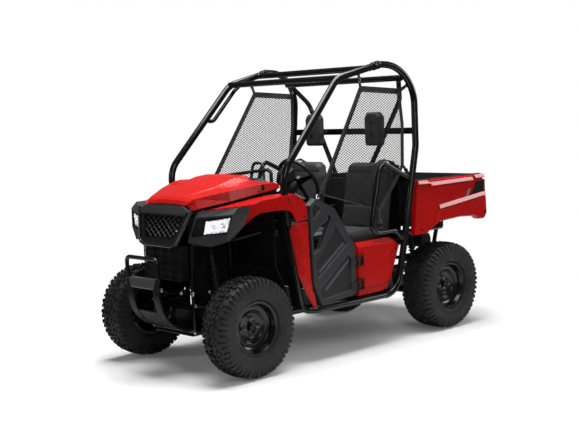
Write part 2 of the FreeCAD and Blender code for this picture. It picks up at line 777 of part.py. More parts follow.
def rear_cage():
    radius = z.cage_tube
    hoop = tube([
        point(SILL_X, SILL_REAR, z.sill_height), point(HOOP_X - 4, LOW_Y - 92, z.sill_height + 10),
        point(HOOP_X - 2, LOW_Y, z.hoop_low_z), point(HOOP_X, HOOP_Y - 12, z.hoop_z - 120),
        point(HOOP_X - 26, behind_front(z.hoop_top_y), z.joint_z - 10), JOINT], radius, 280, CAGE_SIDES)
    guard = tube([
        point(HOOP_X - 14, hoop_at(1100), 1100), point(HOOP_X - 16, behind_front(1197), 1230),
        point(HOOP_X - 16, behind_front(1150), 1170), point(HOOP_X - 16, behind_front(1052), 800),
        point(HOOP_X - 16, behind_front(1120), 764), point(HOOP_X - 16, behind_front(1290), 764),
        point(HOOP_X - 12, hoop_at(690), 690)], z.guard_tube, 60)
    brace = tube([point(JOINT_X - 16, REAR_CROSS_Y + 2, z.rear_cross_z), point(JOINT_X - 104, HOOP_Y + 18, 1640),
                  point(150, HOOP_Y - 24, z.low_cross_z)], z.guard_tube + 1, 90)
    tubes = both(hoop) + both(guard) + both(brace) + both(clamp())
    tubes.append(across(JOINT_X + 14, REAR_CROSS_Y, z.rear_cross_z, z.cross_tube))
    tubes.append(across(HOOP_X - 4, hoop_at(z.low_cross_z) + 12, z.low_cross_z, z.cross_tube))
    bar = Part.makeBox(2 * float(HOOP_X), float(z.bar_thickness), float(z.bar_height),
                       point(-HOOP_X, HOOP_Y - 6, z.bar_z - z.bar_height / 2))
    brackets = []
    for middle in (-z.headrest_x - 50, -z.headrest_x + 50, z.headrest_x - 50, z.headrest_x + 50):
        brackets.append(Part.makeBox(24, float(REST_GAP) - 4, 8,
                                     point(middle - 12, HOOP_Y - REST_GAP, z.bar_z - 4)))
    return joined(tubes + [bar] + brackets)


REAR_CAGE = rear_cage().cut(FRAME)
keep("rear_cage", shaped("rear_cage", REAR_CAGE))

PILLAR_FOOT = point(FOOT_X, behind_front(z.pillar_foot_y), z.pillar_foot_z)


def front_cage():
    leg = point(LEG_X, LEG_Y, LEG_TOP_Z)
    rail = tube([leg, PILLAR_FOOT, BROW, JOINT - Vector(0, 2, 0)], z.cage_tube, 200, CAGE_SIDES)
    slope = (BROW - PILLAR_FOOT).normalize()
    away = Vector(0, slope.z, -slope.y)
    low = PILLAR_FOOT + slope * (0.60 * PILLAR_FOOT.distanceToPoint(BROW))
    handle = mirrored(tube([low, low + away * 58 + slope * 10, BROW + away * 58 - slope * 6,
                            BROW + Vector(1, 150, 38)], z.guard_tube - 2, 60))
    tubes = both(rail) + [handle]
    tubes.append(across(BROW_X, BROW.y, BROW.z, z.cross_tube))
    tubes.append(across(JOINT_X, JOINT_Y - 90, z.joint_z - 24, z.cross_tube))
    return joined(tubes)


FRONT_CAGE = front_cage().cut([FRAME, REAR_CAGE])
keep("front_cage", shaped("front_cage", FRONT_CAGE))


# Suspension arms, reaching from the frame's rails to the ball joints

SHOCK_LOW_Z = z.rail_z + 26
SHOCK_SIDE = -34
SHOCK_SHARE = 0.55


def wishbone(side, x_out, y, half_base, inner_z, outer_z):
    """An A-shaped arm: two tubes from the frame that meet at the ball joint."""
    outer = point(side * x_out, y, outer_z)
    legs = []
    for end in (-1, 1):
        start = point(side * RAIL_X, float(y) + end * float(half_base), inner_z)
        legs.append(tube([start, outer], z.arm_tube))
    ball = tube([outer - Vector(0, 0, 11), outer + Vector(0, 0, 11)], 16)
    return joined(legs + [ball])


def shock_x(x_out):
    """How far out a shock stands on an arm."""
    return float(RAIL_X) + SHOCK_SHARE * (float(x_out) - float(RAIL_X))


def arms(y, x_out):
    """The lower arms with their spring seats and the upper arms of one axle."""
    pieces = []
    for side in (1, -1):
        lower = wishbone(side, x_out, y, 150, z.rail_z, BALL_LOW)
        seat = Part.makeBox(40, 76, 20, point(side * shock_x(x_out) - 20, y + SHOCK_SIDE - 60, SHOCK_LOW_Z - 24))
        pieces.append(joined([lower, seat]))
        pieces.append(wishbone(side, x_out, y, 158, UPPER_Z, BALL_HIGH))
    return Part.makeCompound([piece.cut(FRAME) for piece in pieces])


keep("front_arms", shaped("front_arms", arms(FRONT_AXLE, KINGPIN_X)))
keep("rear_arms", shaped("rear_arms", arms(REAR_AXLE, UPRIGHT_X)))


def shock(side, y, low_x, top_x, top_z):
    """A damper in its spring: an eye's stud, the coil's turns, a can and the upper stud."""
    low = point(side * low_x, y + SHOCK_SIDE, SHOCK_LOW_Z)
    high = point(side * top_x, y + SHOCK_SIDE, top_z)
    profile = [(0, 9), (0.09, 9), (0.10, 26)]
    turns = int(float(z.coil_turns))
    pitch = 0.62 / turns
    for index in range(turns):
        profile += [(0.12 + pitch * index, 28), (0.12 + pitch * (index + 0.55), 19)]
    profile += [(0.74, 27), (0.76, 20), (0.94, 20), (0.95, 9), (1, 9)]
    return stepped_body(low, high, profile, 6)


shocks = []
for side in (1, -1):
    shocks.append(shock(side, FRONT_AXLE, shock_x(KINGPIN_X), RAIL_X + 40, TOP_Z - 30))
    shocks.append(shock(side, REAR_AXLE, shock_x(UPRIGHT_X), BED_RAIL_X - 34, z.bed_rail_z - 30))
keep("shock_absorbers", shaped("shock_absorbers", Part.makeCompound(shocks)))


# Engine block, gear cases and drive shafts

ENGINE_FRONT = REAR_AXLE - z.engine_front
ENGINE_REAR = REAR_AXLE - z.engine_rear
SHAFT_ROOM = 32
keep("engine", block("engine", -z.engine_x, z.engine_x, ENGINE_FRONT, ENGINE_REAR,
                     z.engine_low, z.engine_top))


def drive_line():
    """A gear case with its half shafts at each axle, and the long shaft between the cases."""
    pieces = []
    for y, end_x in ((FRONT_AXLE, KINGPIN_X - SHAFT_ROOM), (REAR_AXLE, UPRIGHT_X - SHAFT_ROOM)):
        case = Part.makeBox(2 * float(z.case_x), 2 * float(z.case_half), 130,
                            point(-z.case_x, y - z.case_half, AXLE_Z - 68))
        pieces.append(joined([case, across(end_x, y, AXLE_Z, z.shaft_radius)]))
    prop_z = z.rail_z + 36
    pieces.append(tube([point(0, FRONT_AXLE + z.case_half + 1, prop_z),
                        point(0, REAR_AXLE - z.case_half - 1, prop_z)], z.shaft_radius))
    return Part.makeCompound(pieces).cut(FRAME)


keep("drive_line", shaped("drive_line", drive_line()))


# Floor, firewall, skid plate and the panels that close the front arches

SEAT_FRONT = behind_front(z.seat_front)
TOE_Y = behind_front(z.toe_y)
FIREWALL_Y = behind_front(z.firewall_y)
floor_face = band([(FIREWALL_Y, z.firewall_top), (FIREWALL_Y, 640), (TOE_Y, z.floor_z),
                   (SEAT_FRONT - 12, z.floor_z)], z.sheet_wall)
LEG_GAP = LEG_X - z.frame_tube - 6
floor_pan = extruded(floor_face, -LEG_GAP, LEG_GAP)
side_floor = Part.makeBox(float(FLOOR_X - LEG_GAP), float(SEAT_FRONT - 12 - behind_front(560)),
                          float(z.sheet_wall), point(LEG_GAP, behind_front(560), z.floor_z))
FLOOR = joined([floor_pan] + both(side_floor)).cut(FRAME)
keep("floor_pan", shaped("floor_pan", FLOOR))

keep("skid_plate", block("skid_plate", -RAIL_X, RAIL_X, NOSE_Y - 20, REAR_AXLE - 140,
                         z.rail_z - z.frame_tube - 5, z.rail_z - z.frame_tube - 1))


def arch_liners():
    """Wings behind the front wheels and inner walls beside the nose frame."""
    wing_face = band([(behind_front(302), 1010), (behind_front(302), 902), (behind_front(340), 690),
                      (behind_front(362), 576), (behind_front(390), 441), (behind_front(420), 354)], 5)
    wing = extruded(wing_face, LEG_GAP - 30, LEG_X + 18)
    wall = Part.makeBox(7, float(BOX_REAR - NOSE_Y) + 60, 520,
                        point(RAIL_X - z.frame_tube - 4, NOSE_Y - 2, 480))
    return [piece.cut([FRAME, FLOOR, FRONT_CAGE]) for one in (wing, wall) for piece in both(one)]


keep("arch_liners", shaped("arch_liners", Part.makeCompound(arch_liners())))


# Dashboard, steering column and wheel, pedals and grab bar

DASH_FRONT = behind_front(318)
DASH_REAR = behind_front(480)
DASH_X = LEG_X - z.frame_tube - 10
dash_outline = [
    (DASH_FRONT + 22, z.dash_low), (DASH_REAR, z.dash_low), (DASH_REAR + 28, z.dash_low + 84),
    (DASH_REAR, z.dash_top - 30), (DASH_FRONT + 72, z.dash_top), (DASH_FRONT, z.dash_top - 16),
]
dashboard = pad("dashboard_form", "YZ_Plane", [dash_outline], -DASH_X, DASH_X)
shoulder = rectangle(DASH_FRONT - 18, DASH_REAR + 30, z.dash_top - 82, z.dash_top + 18)
pocket(dashboard, "shoulder_left", "YZ_Plane", [shoulder], DASH_X - 170, DASH_X + 10)
pocket(dashboard, "shoulder_right", "YZ_Plane", [shoulder], -DASH_X - 10, -DASH_X + 170)
doc.recompute()
cowl = skinned([
    [point(x, behind_front(336), z.dash_top - 20), point(x * 0.94, behind_front(350), 1168 - drop),
     point(x * 0.94, behind_front(420), 1178 - drop), point(x, behind_front(470), z.dash_top - 50)]
    for x, drop in ((-330, 30), (-250, 0), (250, 0), (330, 30))])
DASH = joined([dashboard.Shape, cowl])

RAKE = math.radians(float(z.wheel_rake))
COLUMN_DOWN = Vector(0, -math.cos(RAKE), -math.sin(RAKE))
WHEEL_AT = point(z.wheel_x, behind_front(z.wheel_y), z.wheel_z)
column = Part.makeCylinder(18, 224, WHEEL_AT + COLUMN_DOWN * 26, COLUMN_DOWN)
shroud = tube([WHEEL_AT + COLUMN_DOWN * 60, WHEEL_AT + COLUMN_DOWN * 180], 42)
pod_at = WHEEL_AT + COLUMN_DOWN * 128 + Vector(0, 0, 116)
pod = skinned([
    [pod_at + COLUMN_DOWN * down + Vector(x * wide, 0, height * wide)
     for x, height in ((-76, -30), (-58, -52), (58, -52), (76, -30), (62, 26), (34, 44), (-34, 44), (-62, 26))]
    for down, wide in ((-22, 0.92), (-10, 1.0), (30, 0.94), (58, 0.6))])
neck = tube([pod_at - Vector(0, 0, 30), pod_at + COLUMN_DOWN * 30 - Vector(0, 0, 110)], 26)
keep("steering_column", shaped("steering_column", joined([column, shroud, neck, pod]).cut(DASH)))
keep("dashboard", shaped("dashboard", DASH.cut(FRONT_CAGE)))


def steering_wheel():
    """A rim of flat-sided rings, a hub and three dished spokes, about the column's line."""
    radius = float(z.wheel_ring_radius)
    thick = float(z.wheel_ring_section)
    outline = []
    for index in range(8):
        angle = math.pi / 4 * (index + 0.5)
        outline.append((thick * math.cos(angle), radius + thick * math.sin(angle)))
    pieces = [ring_body(outline, 32), Part.makeCylinder(34, 30, Vector(-20, 0, 0), Vector(1, 0, 0))]
    for angle in (75, 180, 285):
        spoke = skinned([
            [Vector(-14, -w, r), Vector(-14, w, r), Vector(-6, w, r), Vector(-6, -w, r)]
            if r < 60 else [Vector(-4, -w, r), Vector(-4, w, r), Vector(4, w, r), Vector(4, -w, r)]
            for r, w in ((0, 20), (50, 20), (100, 14), (radius, 16))])
        spoke.rotate(Vector(0, 0, 0), Vector(1, 0, 0), angle)
        pieces.append(spoke)
    wheel = joined(pieces)
    wheel.rotate(Vector(0, 0, 0), Vector(0, 0, 1), 90)
    wheel.rotate(Vector(0, 0, 0), Vector(1, 0, 0), float(z.wheel_rake))
    wheel.translate(WHEEL_AT)
    return wheel


keep("steering_wheel", shaped("steering_wheel", steering_wheel()))


def pedal(x):
    arm = tube([point(x, FIREWALL_Y + 2, 700), point(x, FIREWALL_Y + 80, 690),
                point(x, FIREWALL_Y + 122, 540)], 8, 30)
    plate = Part.makeBox(70, 10, 80, point(float(x) - 35, FIREWALL_Y + 118, 480))
    return joined([arm, plate]).cut(FLOOR)


keep("pedals", shaped("pedals", Part.makeCompound([pedal(z.wheel_x - 60), pedal(z.wheel_x + 60)])))

grab_y = behind_front(z.grab_y)
rail = tube([point(-395, grab_y - 40, 1050), point(-370, grab_y, 1165), point(-60, grab_y, 1200),
             point(205, grab_y, 1226), point(226, grab_y - 20, 1100)], 12, 40)
loop = tube([point(10, grab_y - 6, 1150), point(14, grab_y + 16, 1268), point(110, grab_y + 16, 1262),
             point(140, grab_y - 6, 1150)], 10, 34)
keep("grab_bar", shaped("grab_bar", joined([rail, loop]).cut(DASH)))


# Nose: hood, fenders, grille, lamps, radiator and bumper

DRAWN_HALF_WIDTH = 635
MIDDLE_X = 200
GRILLE_Y = FRONT_AXLE - z.grille_y
RISE = z.grille_top - 1046
FENDER_SIDE = float(FENDER_X) - (DRAWN_HALF_WIDTH - 35)


def outboard(x, y, height):
    """A place on the nose as drawn; past its middle it moves out with the vehicle's side."""
    share = min(max((x - MIDDLE_X) / 300.0, 0), 1)
    return Vector(x + share * FENDER_SIDE, float(FRONT_AXLE) + 950 + y, height + float(RISE))


HOOD_STATIONS = (
    # y, then (x, height) of the middle, the dome's edge and foot, the crease and the lower edge
    (-1121, (0, 1060), (92, 1060), (118, 1058), (199, 1056), (206, 1046)),
    (-1106, (0, 1082), (98, 1082), (124, 1079), (212, 1074), (238, 1019)),
    (-1078, (0, 1099), (108, 1099), (136, 1095), (228, 1090), (254, 1028)),
    (-900, (0, 1158), (204, 1149), (222, 1143), (345, 1128), (356, 1064)),
    (-728, (0, 1201), (198, 1194), (236, 1164), (440, 1157), (450, 1104)),
    (-640, (0, 1208), (190, 1204), (240, 1172), (482, 1162), (494, 1124)),
    (-618, (0, 1200), (186, 1196), (236, 1166), (486, 1152), (500, 1126)),
)


def hood():
    """A panel that widens and rises to the rear: a raised middle, a crease and a flank."""
    wall = float(z.hood_wall)
    rings = []
    for y, middle, edge, foot, crease, low in HOOD_STATIONS:
        half = [edge, foot, crease, low]
        under = [(edge[0], edge[1] - wall), (foot[0], foot[1] - wall),
                 (crease[0] - wall, crease[1] - wall), (low[0] - wall, low[1])]
        right = [outboard(x, y, height) for x, height in half]
        right_under = [outboard(x, y, height) for x, height in under]
        left = [Vector(-p.x, p.y, p.z) for p in reversed(right)]
        left_under = [Vector(-p.x, p.y, p.z) for p in reversed(right_under)]
        top = outboard(middle[0], y, middle[1])
        below = outboard(middle[0], y, middle[1] - wall)
        rings.append(left + [top] + right + right_under[::-1] + [below] + left_under[::-1])
    return skinned(rings)


keep("hood", shaped("hood", hood()))

DOWN, REARWARD, SLOPED = Vector(0, 0, -1), Vector(0, -1, 0), Vector(0, -0.5, -0.87)
FENDER_STATIONS = (
    # the seam, top edge, crease and arch edge, then the side of the top plate that is hidden
    ((262, -1096, 1008), (292, -1086, 1020), (300, -1080, 1014), (300, -1078, 1008), DOWN),
    ((360, -915, 1046), (512, -905, 1046), (520, -893, 1012), (499, -919, 924), DOWN),
    ((392, -850, 1060), (534, -874, 1050), (540, -866, 1014), (534, -874, 972), DOWN),
    ((432, -776, 1076), (562, -820, 1070), (564, -822, 1022), (556, -838, 994), DOWN),
    ((470, -712, 1088), (588, -734, 1079), (586, -748, 1028), (584, -748, 999), DOWN),
    ((540, -648, 1096), (600, -640, 1087), (600, -646, 1032), (600, -660, 999), DOWN),
    ((546, -588, 1092), (600, -572, 1084), (600, -588, 1014), (600, -618, 979), SLOPED),
    ((550, -532, 1062), (600, -530, 1062), (600, -558, 982), (600, -593, 938), REARWARD),
    ((556, -492, 1004), (600, -492, 1004), (600, -540, 950), (600, -581, 918), REARWARD),
    ((556, -484, 926), (600, -484, 926), (600, -536, 922), (600, -578, 914), REARWARD),
)


def fender():
    """A fender that sweeps from the lamp over the arch and bends down to the door."""
    wall = float(z.fender_wall)
    inward = Vector(-wall, 0, 0)
    rings = []
    for seam, top, crease, arch, hidden in FENDER_STATIONS:
        outer = [outboard(*place_of) for place_of in (seam, top, crease, arch)]
        under = [outer[0] + hidden * wall, outer[1] + hidden * wall + inward, outer[2] + inward,
                 outer[3] + inward]
        rings.append(outer + under[::-1])
    return skinned(rings)


FENDER = fender()
fender_cuts = [FRAME, FRONT_CAGE]
keep("fender_left", shaped("fender_left", FENDER.cut(fender_cuts)))
keep("fender_right", shaped("fender_right", mirrored(FENDER).cut(fender_cuts)))

STRIP_STATIONS = (
    # height, then (x, y) of the forward edge, the fold and the rear edge
    (911, (578, -588), (600, -556), (599, -484)), (863, (566, -612), (600, -568), (599, -483)),
    (703, (572, -582), (600, -540), (599, -482)), (576, (576, -562), (600, -520), (598, -474)),
    (513, (579, -533), (599, -500), (597, -470)),
    (441, (582, -500), (598, -476), (596, -446)), (356, (587, -447), (595, -440), (593, -427)),
)
rings = []
for height, forward, fold, rear in STRIP_STATIONS:
    outer = [outboard(x, y, height) for x, y in (forward, fold, rear)]
    inner = [p + Vector(-z.fender_wall.value, 3, 0) for p in (outer[0], outer[1])]
    rings.append(outer + [outer[2] + Vector(-z.fender_wall.value, 0, 0)] + inner[::-1])
STRIP = skinned(rings)
keep("fender_lower", shaped("fender_lower", Part.makeCompound(
    [piece.cut(fender_cuts + [kept["arch_liners"].Shape]) for piece in both(STRIP)])))

SLOPE = float(z.grille_slope)
SLANT = math.atan(SLOPE)
NOSE_UP = Vector(0, math.sin(SLANT), math.cos(SLANT))
NOSE_OUT = Vector(0, -math.cos(SLANT), math.sin(SLANT))
GRILLE_FOOT = float(z.grille_bottom)


def on_nose(x, height, out):
    """A place on the leaning grille, by its height as seen from ahead and how far it stands out."""
    y = float(GRILLE_Y) + (height - 1020) * SLOPE
    return Vector(x, y, height) + NOSE_OUT * out


def nose_plate(outline, low, high, smaller=0):
    """A plate on the grille's plane between two distances from it."""
    front = inset(outline, smaller) if smaller else [(float(x), float(h)) for x, h in outline]
    return skinned([[on_nose(float(x), float(h), low) for x, h in outline],
                    [on_nose(x, h, high) for x, h in front]])


GRILLE_HALF = float(z.grille_half)
MESH_TOP, MESH_LOW = 986, 845
mesh_outline = [(-GRILLE_HALF - 13, MESH_TOP), (GRILLE_HALF + 13, MESH_TOP),
                (GRILLE_HALF - 43, MESH_LOW), (-GRILLE_HALF + 43, MESH_LOW)]


def lattice():
    """A sheet with rows of diamond holes, its webs crossing like woven wire."""
    pitch = float(z.mesh_pitch)
    bar = float(z.mesh_bar)
    half_x, half_h = pitch / 2 - bar * 0.75, pitch * 0.34 - bar * 0.55
    holes = []
    row_step = pitch * 0.34
    room = nose_plate(inset(mesh_outline, 3), -20, 20)
    rows = int((MESH_TOP - MESH_LOW) / row_step) + 1
    for row in range(rows + 1):
        height = MESH_TOP - row * row_step
        for column in range(-6, 7):
            x = (column + 0.5 * (row % 2)) * pitch
            diamond = nose_plate([(x - half_x, height), (x, height - half_h), (x + half_x, height),
                                  (x, height + half_h)], -20, 20)
            hole = diamond.common(room)
            if hole.Volume > 600:
                holes.append(hole)
    return nose_plate(mesh_outline, -10, -6).cut(holes)


def grille():
    """The leaning front panel: a frame round the lattice, a bevelled plate above, a tube around."""
    half = GRILLE_HALF
    thick = float(z.grille_thick)
    frame = nose_plate([(-half - 62, 1018), (half + 62, 1018), (half - 14, 826), (half - 54, GRILLE_FOOT),
                        (-half + 54, GRILLE_FOOT), (-half + 14, 826)], -thick, 0)
    frame = frame.cut(nose_plate(mesh_outline, -thick - 4, 4))
    top = nose_plate([(-half, 1046), (half, 1046), (half + 62, 1016), (half + 34, 990),
                      (-half - 34, 990), (-half - 62, 1016)], -thick, 14, 9)
    corners = [(half + 80, 1032), (half + 16, 866), (half - 4, 822), (half - 52, GRILLE_FOOT - 6)]
    path = [on_nose(x, h, 0) for x, h in corners] + [on_nose(-x, h, 0) for x, h in reversed(corners)]
    wire = tube(path, 9, 20)
    webs = []
    for side in (1, -1):
        webs.append(nose_plate([(side * (half + 70), 1018), (side * (half + 8), 864), (side * (half - 20), 864),
                                (side * (half + 40), 1018)], -thick, -6))
    foot = nose_plate([(-half + 60, GRILLE_FOOT + 6), (half - 60, GRILLE_FOOT + 6),
                       (half - 60, GRILLE_FOOT - 6), (-half + 60, GRILLE_FOOT - 6)], -thick, -4)
    return joined([frame, top, wire, lattice(), foot] + webs)


GRILLE = grille().cut(kept["hood"].Shape)
keep("grille", shaped("grille", GRILLE))

LAMP_SECTIONS = (
    # from the grille outwards: bottom, lower and upper edge of the recess, top, back top, back bottom
    ((229, -1150, 827), (240, -1152, 850), (285, -1130, 985), (297, -1108, 1013), (300, -1030, 1010), (240, -1050, 830)),
    ((388, -1095, 806), (374, -1118, 862), (404, -1094, 992), (415, -1058, 1029), (400, -985, 1025), (380, -1005, 815)),
    ((470, -1034, 836), (492, -1050, 880), (524, -1026, 1001), (522, -985, 1040), (470, -935, 1034), (440, -960, 845)),
    ((500, -922, 922), (508, -930, 940), (533, -905, 1006), (530, -893, 1041), (486, -885, 1036), (472, -885, 930)),
)
LAMP_OUT = Vector(0.39, -0.92, 0)


def lamp_shell():
    """A faceted lamp housing that turns round the nose's corner."""
    return skinned([[outboard(*corner) for corner in section] for section in LAMP_SECTIONS])


def lamp_prism(corners, low, high):
    """A prism through the lamp's face between two depths."""
    places = [outboard(*corner) for corner in corners]
    return skinned([[p + LAMP_OUT * low for p in places], [p + LAMP_OUT * high for p in places]])


RECESS = ((256, -1144, 862), (298, -1124, 976), (514, -1034, 991), (486, -1050, 888))
LENS_FACE = ((328, -1112, 876), (346, -1104, 962), (510, -1036, 986), (484, -1050, 893))
lens_depth = float(z.lens_depth)
LENS = lamp_prism(LENS_FACE, -lens_depth, -8)
BEZEL = lamp_shell().cut([lamp_prism(RECESS, -lens_depth, 60), LENS])
bezel_cuts = [FENDER, GRILLE, kept["hood"].Shape] + fender_cuts
keep("headlamp_bezels", shaped("headlamp_bezels", Part.makeCompound(
    [piece.cut(bezel_cuts + both(FENDER)) for piece in both(BEZEL)])))
keep("headlamp_lenses", shaped("headlamp_lenses", Part.makeCompound(both(LENS))))

RADIATOR_Y = NOSE_Y - z.frame_tube - 2 - z.radiator_thick


def radiator():
    """The core with a wire guard a little ahead of it, on two rails."""
    half = float(z.radiator_x)
    low, high = float(z.radiator_bottom), float(z.radiator_top)
    core = Part.makeBox(2 * half, float(z.radiator_thick), high - low, point(-half, RADIATOR_Y, low))
    guard_y = float(RADIATOR_Y - z.guard_thick) - 6
    guard = Part.makeBox(2 * half, float(z.guard_thick), high - low, point(-half, guard_y, low))
    columns, rows, web = 4, 5, 7
    wide = (2 * half - web) / columns - web
    tall = (high - low - web) / rows - web
    holes = []
    for column in range(columns):
        for row in range(rows):
            holes.append(Part.makeBox(wide, 40, tall, Vector(
                -half + web + column * (wide + web), guard_y - 10, low + web + row * (tall + web))))
    rails = [Part.makeBox(2 * half, 10, 8, point(-half, guard_y + 2, height)) for height in (low, high - 8)]
    return joined([core, guard.cut(holes)] + rails)


keep("radiator", shaped("radiator", radiator().cut([FRAME, GRILLE, Part.makeCompound(both(BEZEL))])))


def bumper():
    """A tube bow over a bevelled plate, on two flat arms that curve down to the frame's front."""
    half = float(z.bumper_x)
    low, high = float(z.bumper_low), float(z.bumper_top)
    front = float(FRONT + z.bumper_tube)
    bow = tube([Vector(-half, front + 12, low), Vector(-half, front, high - 62), Vector(-half + 52, front, high),
                Vector(half - 52, front, high), Vector(half, front, high - 62), Vector(half, front + 12, low)],
               z.bumper_tube, 34)
    edge = float(FRONT)
    plate = skinned([
        [Vector(-half + 20, edge + 40, low + 14), Vector(half - 20, edge + 40, low + 14),
         Vector(half - 42, edge + 40, low - 46), Vector(-half + 42, edge + 40, low - 46)],
        [Vector(-half + 26, edge, low + 8), Vector(half - 26, edge, low + 8),
         Vector(half - 50, edge, low - 40), Vector(-half + 50, edge, low - 40)]])
    arm_face = band([(front + 8, low + 16), (front + 4, 500), (front + 34, 410), (front + 100, 328),
                     (NOSE_Y - z.frame_tube + 4, z.rail_z)], 12)
    arm = extruded(arm_face, half - 52, half + 12)
    skid_face = band([(front + 40, 402), (front + 100, 328), (NOSE_Y - z.frame_tube + 4, z.rail_z)], 5)
    skid = extruded(skid_face, -half + 52, half - 52)
    return joined([bow, plate, skid] + both(arm)).cut([FRAME, kept["skid_plate"].Shape])


keep("front_bumper", shaped("front_bumper", bumper()))


# Seats on their base, headrests on the cage's flat bar

SEAT_BACK_Y = behind_front(z.back_y)
SHROUD_Y = SEAT_BACK_Y + z.back_thick + z.back_lean + 12


def seat_base():
    """A box under the seats with a shelf and an upright panel behind them."""
    half = float(SEAT_OUTER)
    wall = 8
    front, rear = float(SEAT_FRONT), float(SEAT_BACK_Y) + 60
    low, high = float(z.floor_z) + 4, float(z.seat_z)
    box = Part.makeBox(2 * half, rear - front, high - low, Vector(-half, front, low))
    room = Part.makeBox(2 * half - 2 * wall, rear - front + 20, high - low - wall + 10,
                        Vector(-half + wall, front + wall, low - 10))
    shroud_y = float(SHROUD_Y)
    shelf = Part.makeBox(2 * half - 30, shroud_y + 6 - rear + 10, 6, Vector(-half + 15, rear - 10, high - 6))
    panel = Part.makeBox(2 * half - 30, 6, float(z.low_cross_z) - 30 - high, Vector(-half + 15, shroud_y, high - 6))
    return joined([box.cut(room), shelf, panel]).cut([FRAME, REAR_CAGE])


keep("seat_base", shaped("seat_base", seat_base()))


def cushion(x0, x1):
    """A seat cushion with bevelled upper edges."""
    low, high = float(z.seat_z) + 2, float(z.seat_z + z.cushion_height)
    front, rear = float(SEAT_FRONT), float(SEAT_BACK_Y) - 4
    rings = []
    for height, back_off in ((low, 6), (low + 16, 0), (high - 26, 0), (high, 22)):
        rings.append([Vector(x0 + back_off, front + back_off, height), Vector(x1 - back_off, front + back_off, height),
                      Vector(x1 - back_off, rear, height), Vector(x0 + back_off, rear, height)])
    return skinned(rings)


def seat_back(x0, x1):
    """A leaning back with rounded shoulders and a bevelled face."""
    low, high = float(z.seat_z) + 40, float(z.back_top)
    lean = float(z.back_lean) / (high - low)
    outline = [(x0 + 8, low), (x1 - 8, low), (x1, low + 60), (x1, high - 110), (x1 - 26, high - 34),
               (x1 - 78, high), (x0 + 70, high), (x0 + 22, high - 34), (x0, high - 110), (x0, low + 60)]
    rings = []
    for depth, smaller in ((0, 24), (26, 2), (float(z.back_thick) - 14, 2), (float(z.back_thick), 16)):
        rings.append([Vector(x, float(SEAT_BACK_Y) + depth + lean * (h - low), h)
                      for x, h in inset(outline, smaller)])
    return skinned(rings)


def headrest(middle):
    """A pad with cut corners and two holes."""
    half = float(z.headrest_width) / 2
    low, high = float(z.headrest_z), float(z.headrest_z + z.headrest_height)
    outline = [(middle - half + 16, low), (middle + half - 16, low), (middle + half, low + 18),
               (middle + half, high - 34), (middle + half - 34, high), (middle - half + 34, high),
               (middle - half, high - 34), (middle - half, low + 18)]
    rear = float(HOOP_Y - REST_GAP)
    rings = []
    for y, smaller in ((rear, 6), (rear - 12, 0), (rear - float(z.headrest_thick) + 14, 0),
                       (rear - float(z.headrest_thick), 14)):
        rings.append([Vector(x, y, h) for x, h in inset(outline, smaller)])
    holes = [tube([Vector(middle, rear - 90, h), Vector(middle, rear - 36, h)], 9) for h in (high - 72, high - 158)]
    return skinned(rings).cut(holes)


cushions = []
backs = []
rests = []
for side in (1, -1):
    low, high = (float(edge) for edge in side_span(side, z.seat_inner, SEAT_OUTER))
    cushions.append(cushion(low, high))
    backs.append(seat_back(low, high))
    rests.append(headrest(side * float(z.headrest_x)))
keep("seat_cushions", shaped("seat_cushions", Part.makeCompound(cushions)))
BACKS = Part.makeCompound(backs).cut(Part.makeCompound(cushions))
keep("seat_backs", shaped("seat_backs", BACKS))
keep("headrests", shaped("headrests", Part.makeCompound(rests)))


# Red side panels behind the doors, with the doors' hinge pins

PANEL_FRONT = behind_front(z.door_rear + z.panel_gap)
PANEL_OUTER = DOOR_X - 4
PANEL_STEP = 8
panel_outline = [
    (PANEL_FRONT, z.panel_top), (behind_front(1245), z.panel_top + 2), (behind_front(1332), z.panel_top - 56),
    (behind_front(1226), z.panel_top - 303), (behind_front(1190), z.panel_top - 338),
    (behind_front(1150), z.panel_bottom + 4), (PANEL_FRONT, z.panel_bottom),
]
proud_outline = [
    (PANEL_FRONT + 1, z.panel_top - 12), (behind_front(1239), z.panel_top - 10), (behind_front(1304), z.panel_top - 66),
    (behind_front(1242), z.panel_top - 107), (behind_front(1212), z.panel_top - 295),
    (behind_front(1144), z.panel_top - 309), (behind_front(1009), z.panel_top - 307),
    (behind_front(974), z.panel_bottom + 6), (PANEL_FRONT + 1, z.panel_bottom + 5),
]
HINGE_Y = behind_front(z.door_rear + 6)
inner_x = float(DOOR_X - z.door_thick) + 8
base_panel = side_plate(panel_outline, inner_x, float(PANEL_OUTER) - PANEL_STEP, 4)
proud_panel = side_plate(proud_outline, float(PANEL_OUTER) - PANEL_STEP - 2, PANEL_OUTER, 9)
SIDE_PANEL = joined([base_panel, proud_panel])
top_bevel = skinned([[point(x0, behind_front(820), z.panel_top + 8), point(x1, behind_front(820), z.panel_top + 8),
                      point(x1, behind_front(820), height)]
                     for x0, x1, height in ((float(DOOR_X) - 32, float(DOOR_X) + 9, z.panel_top - 50),)] +
                    [[point(float(DOOR_X) - 32, behind_front(1400), z.panel_top + 8),
                      point(float(DOOR_X) + 9, behind_front(1400), z.panel_top + 8),
                      point(float(DOOR_X) + 9, behind_front(1400), z.panel_top - 50)]])
SIDE_PANEL = SIDE_PANEL.cut([top_bevel])
keep("side_panels", shaped("side_panels", Part.makeCompound(both(SIDE_PANEL))))


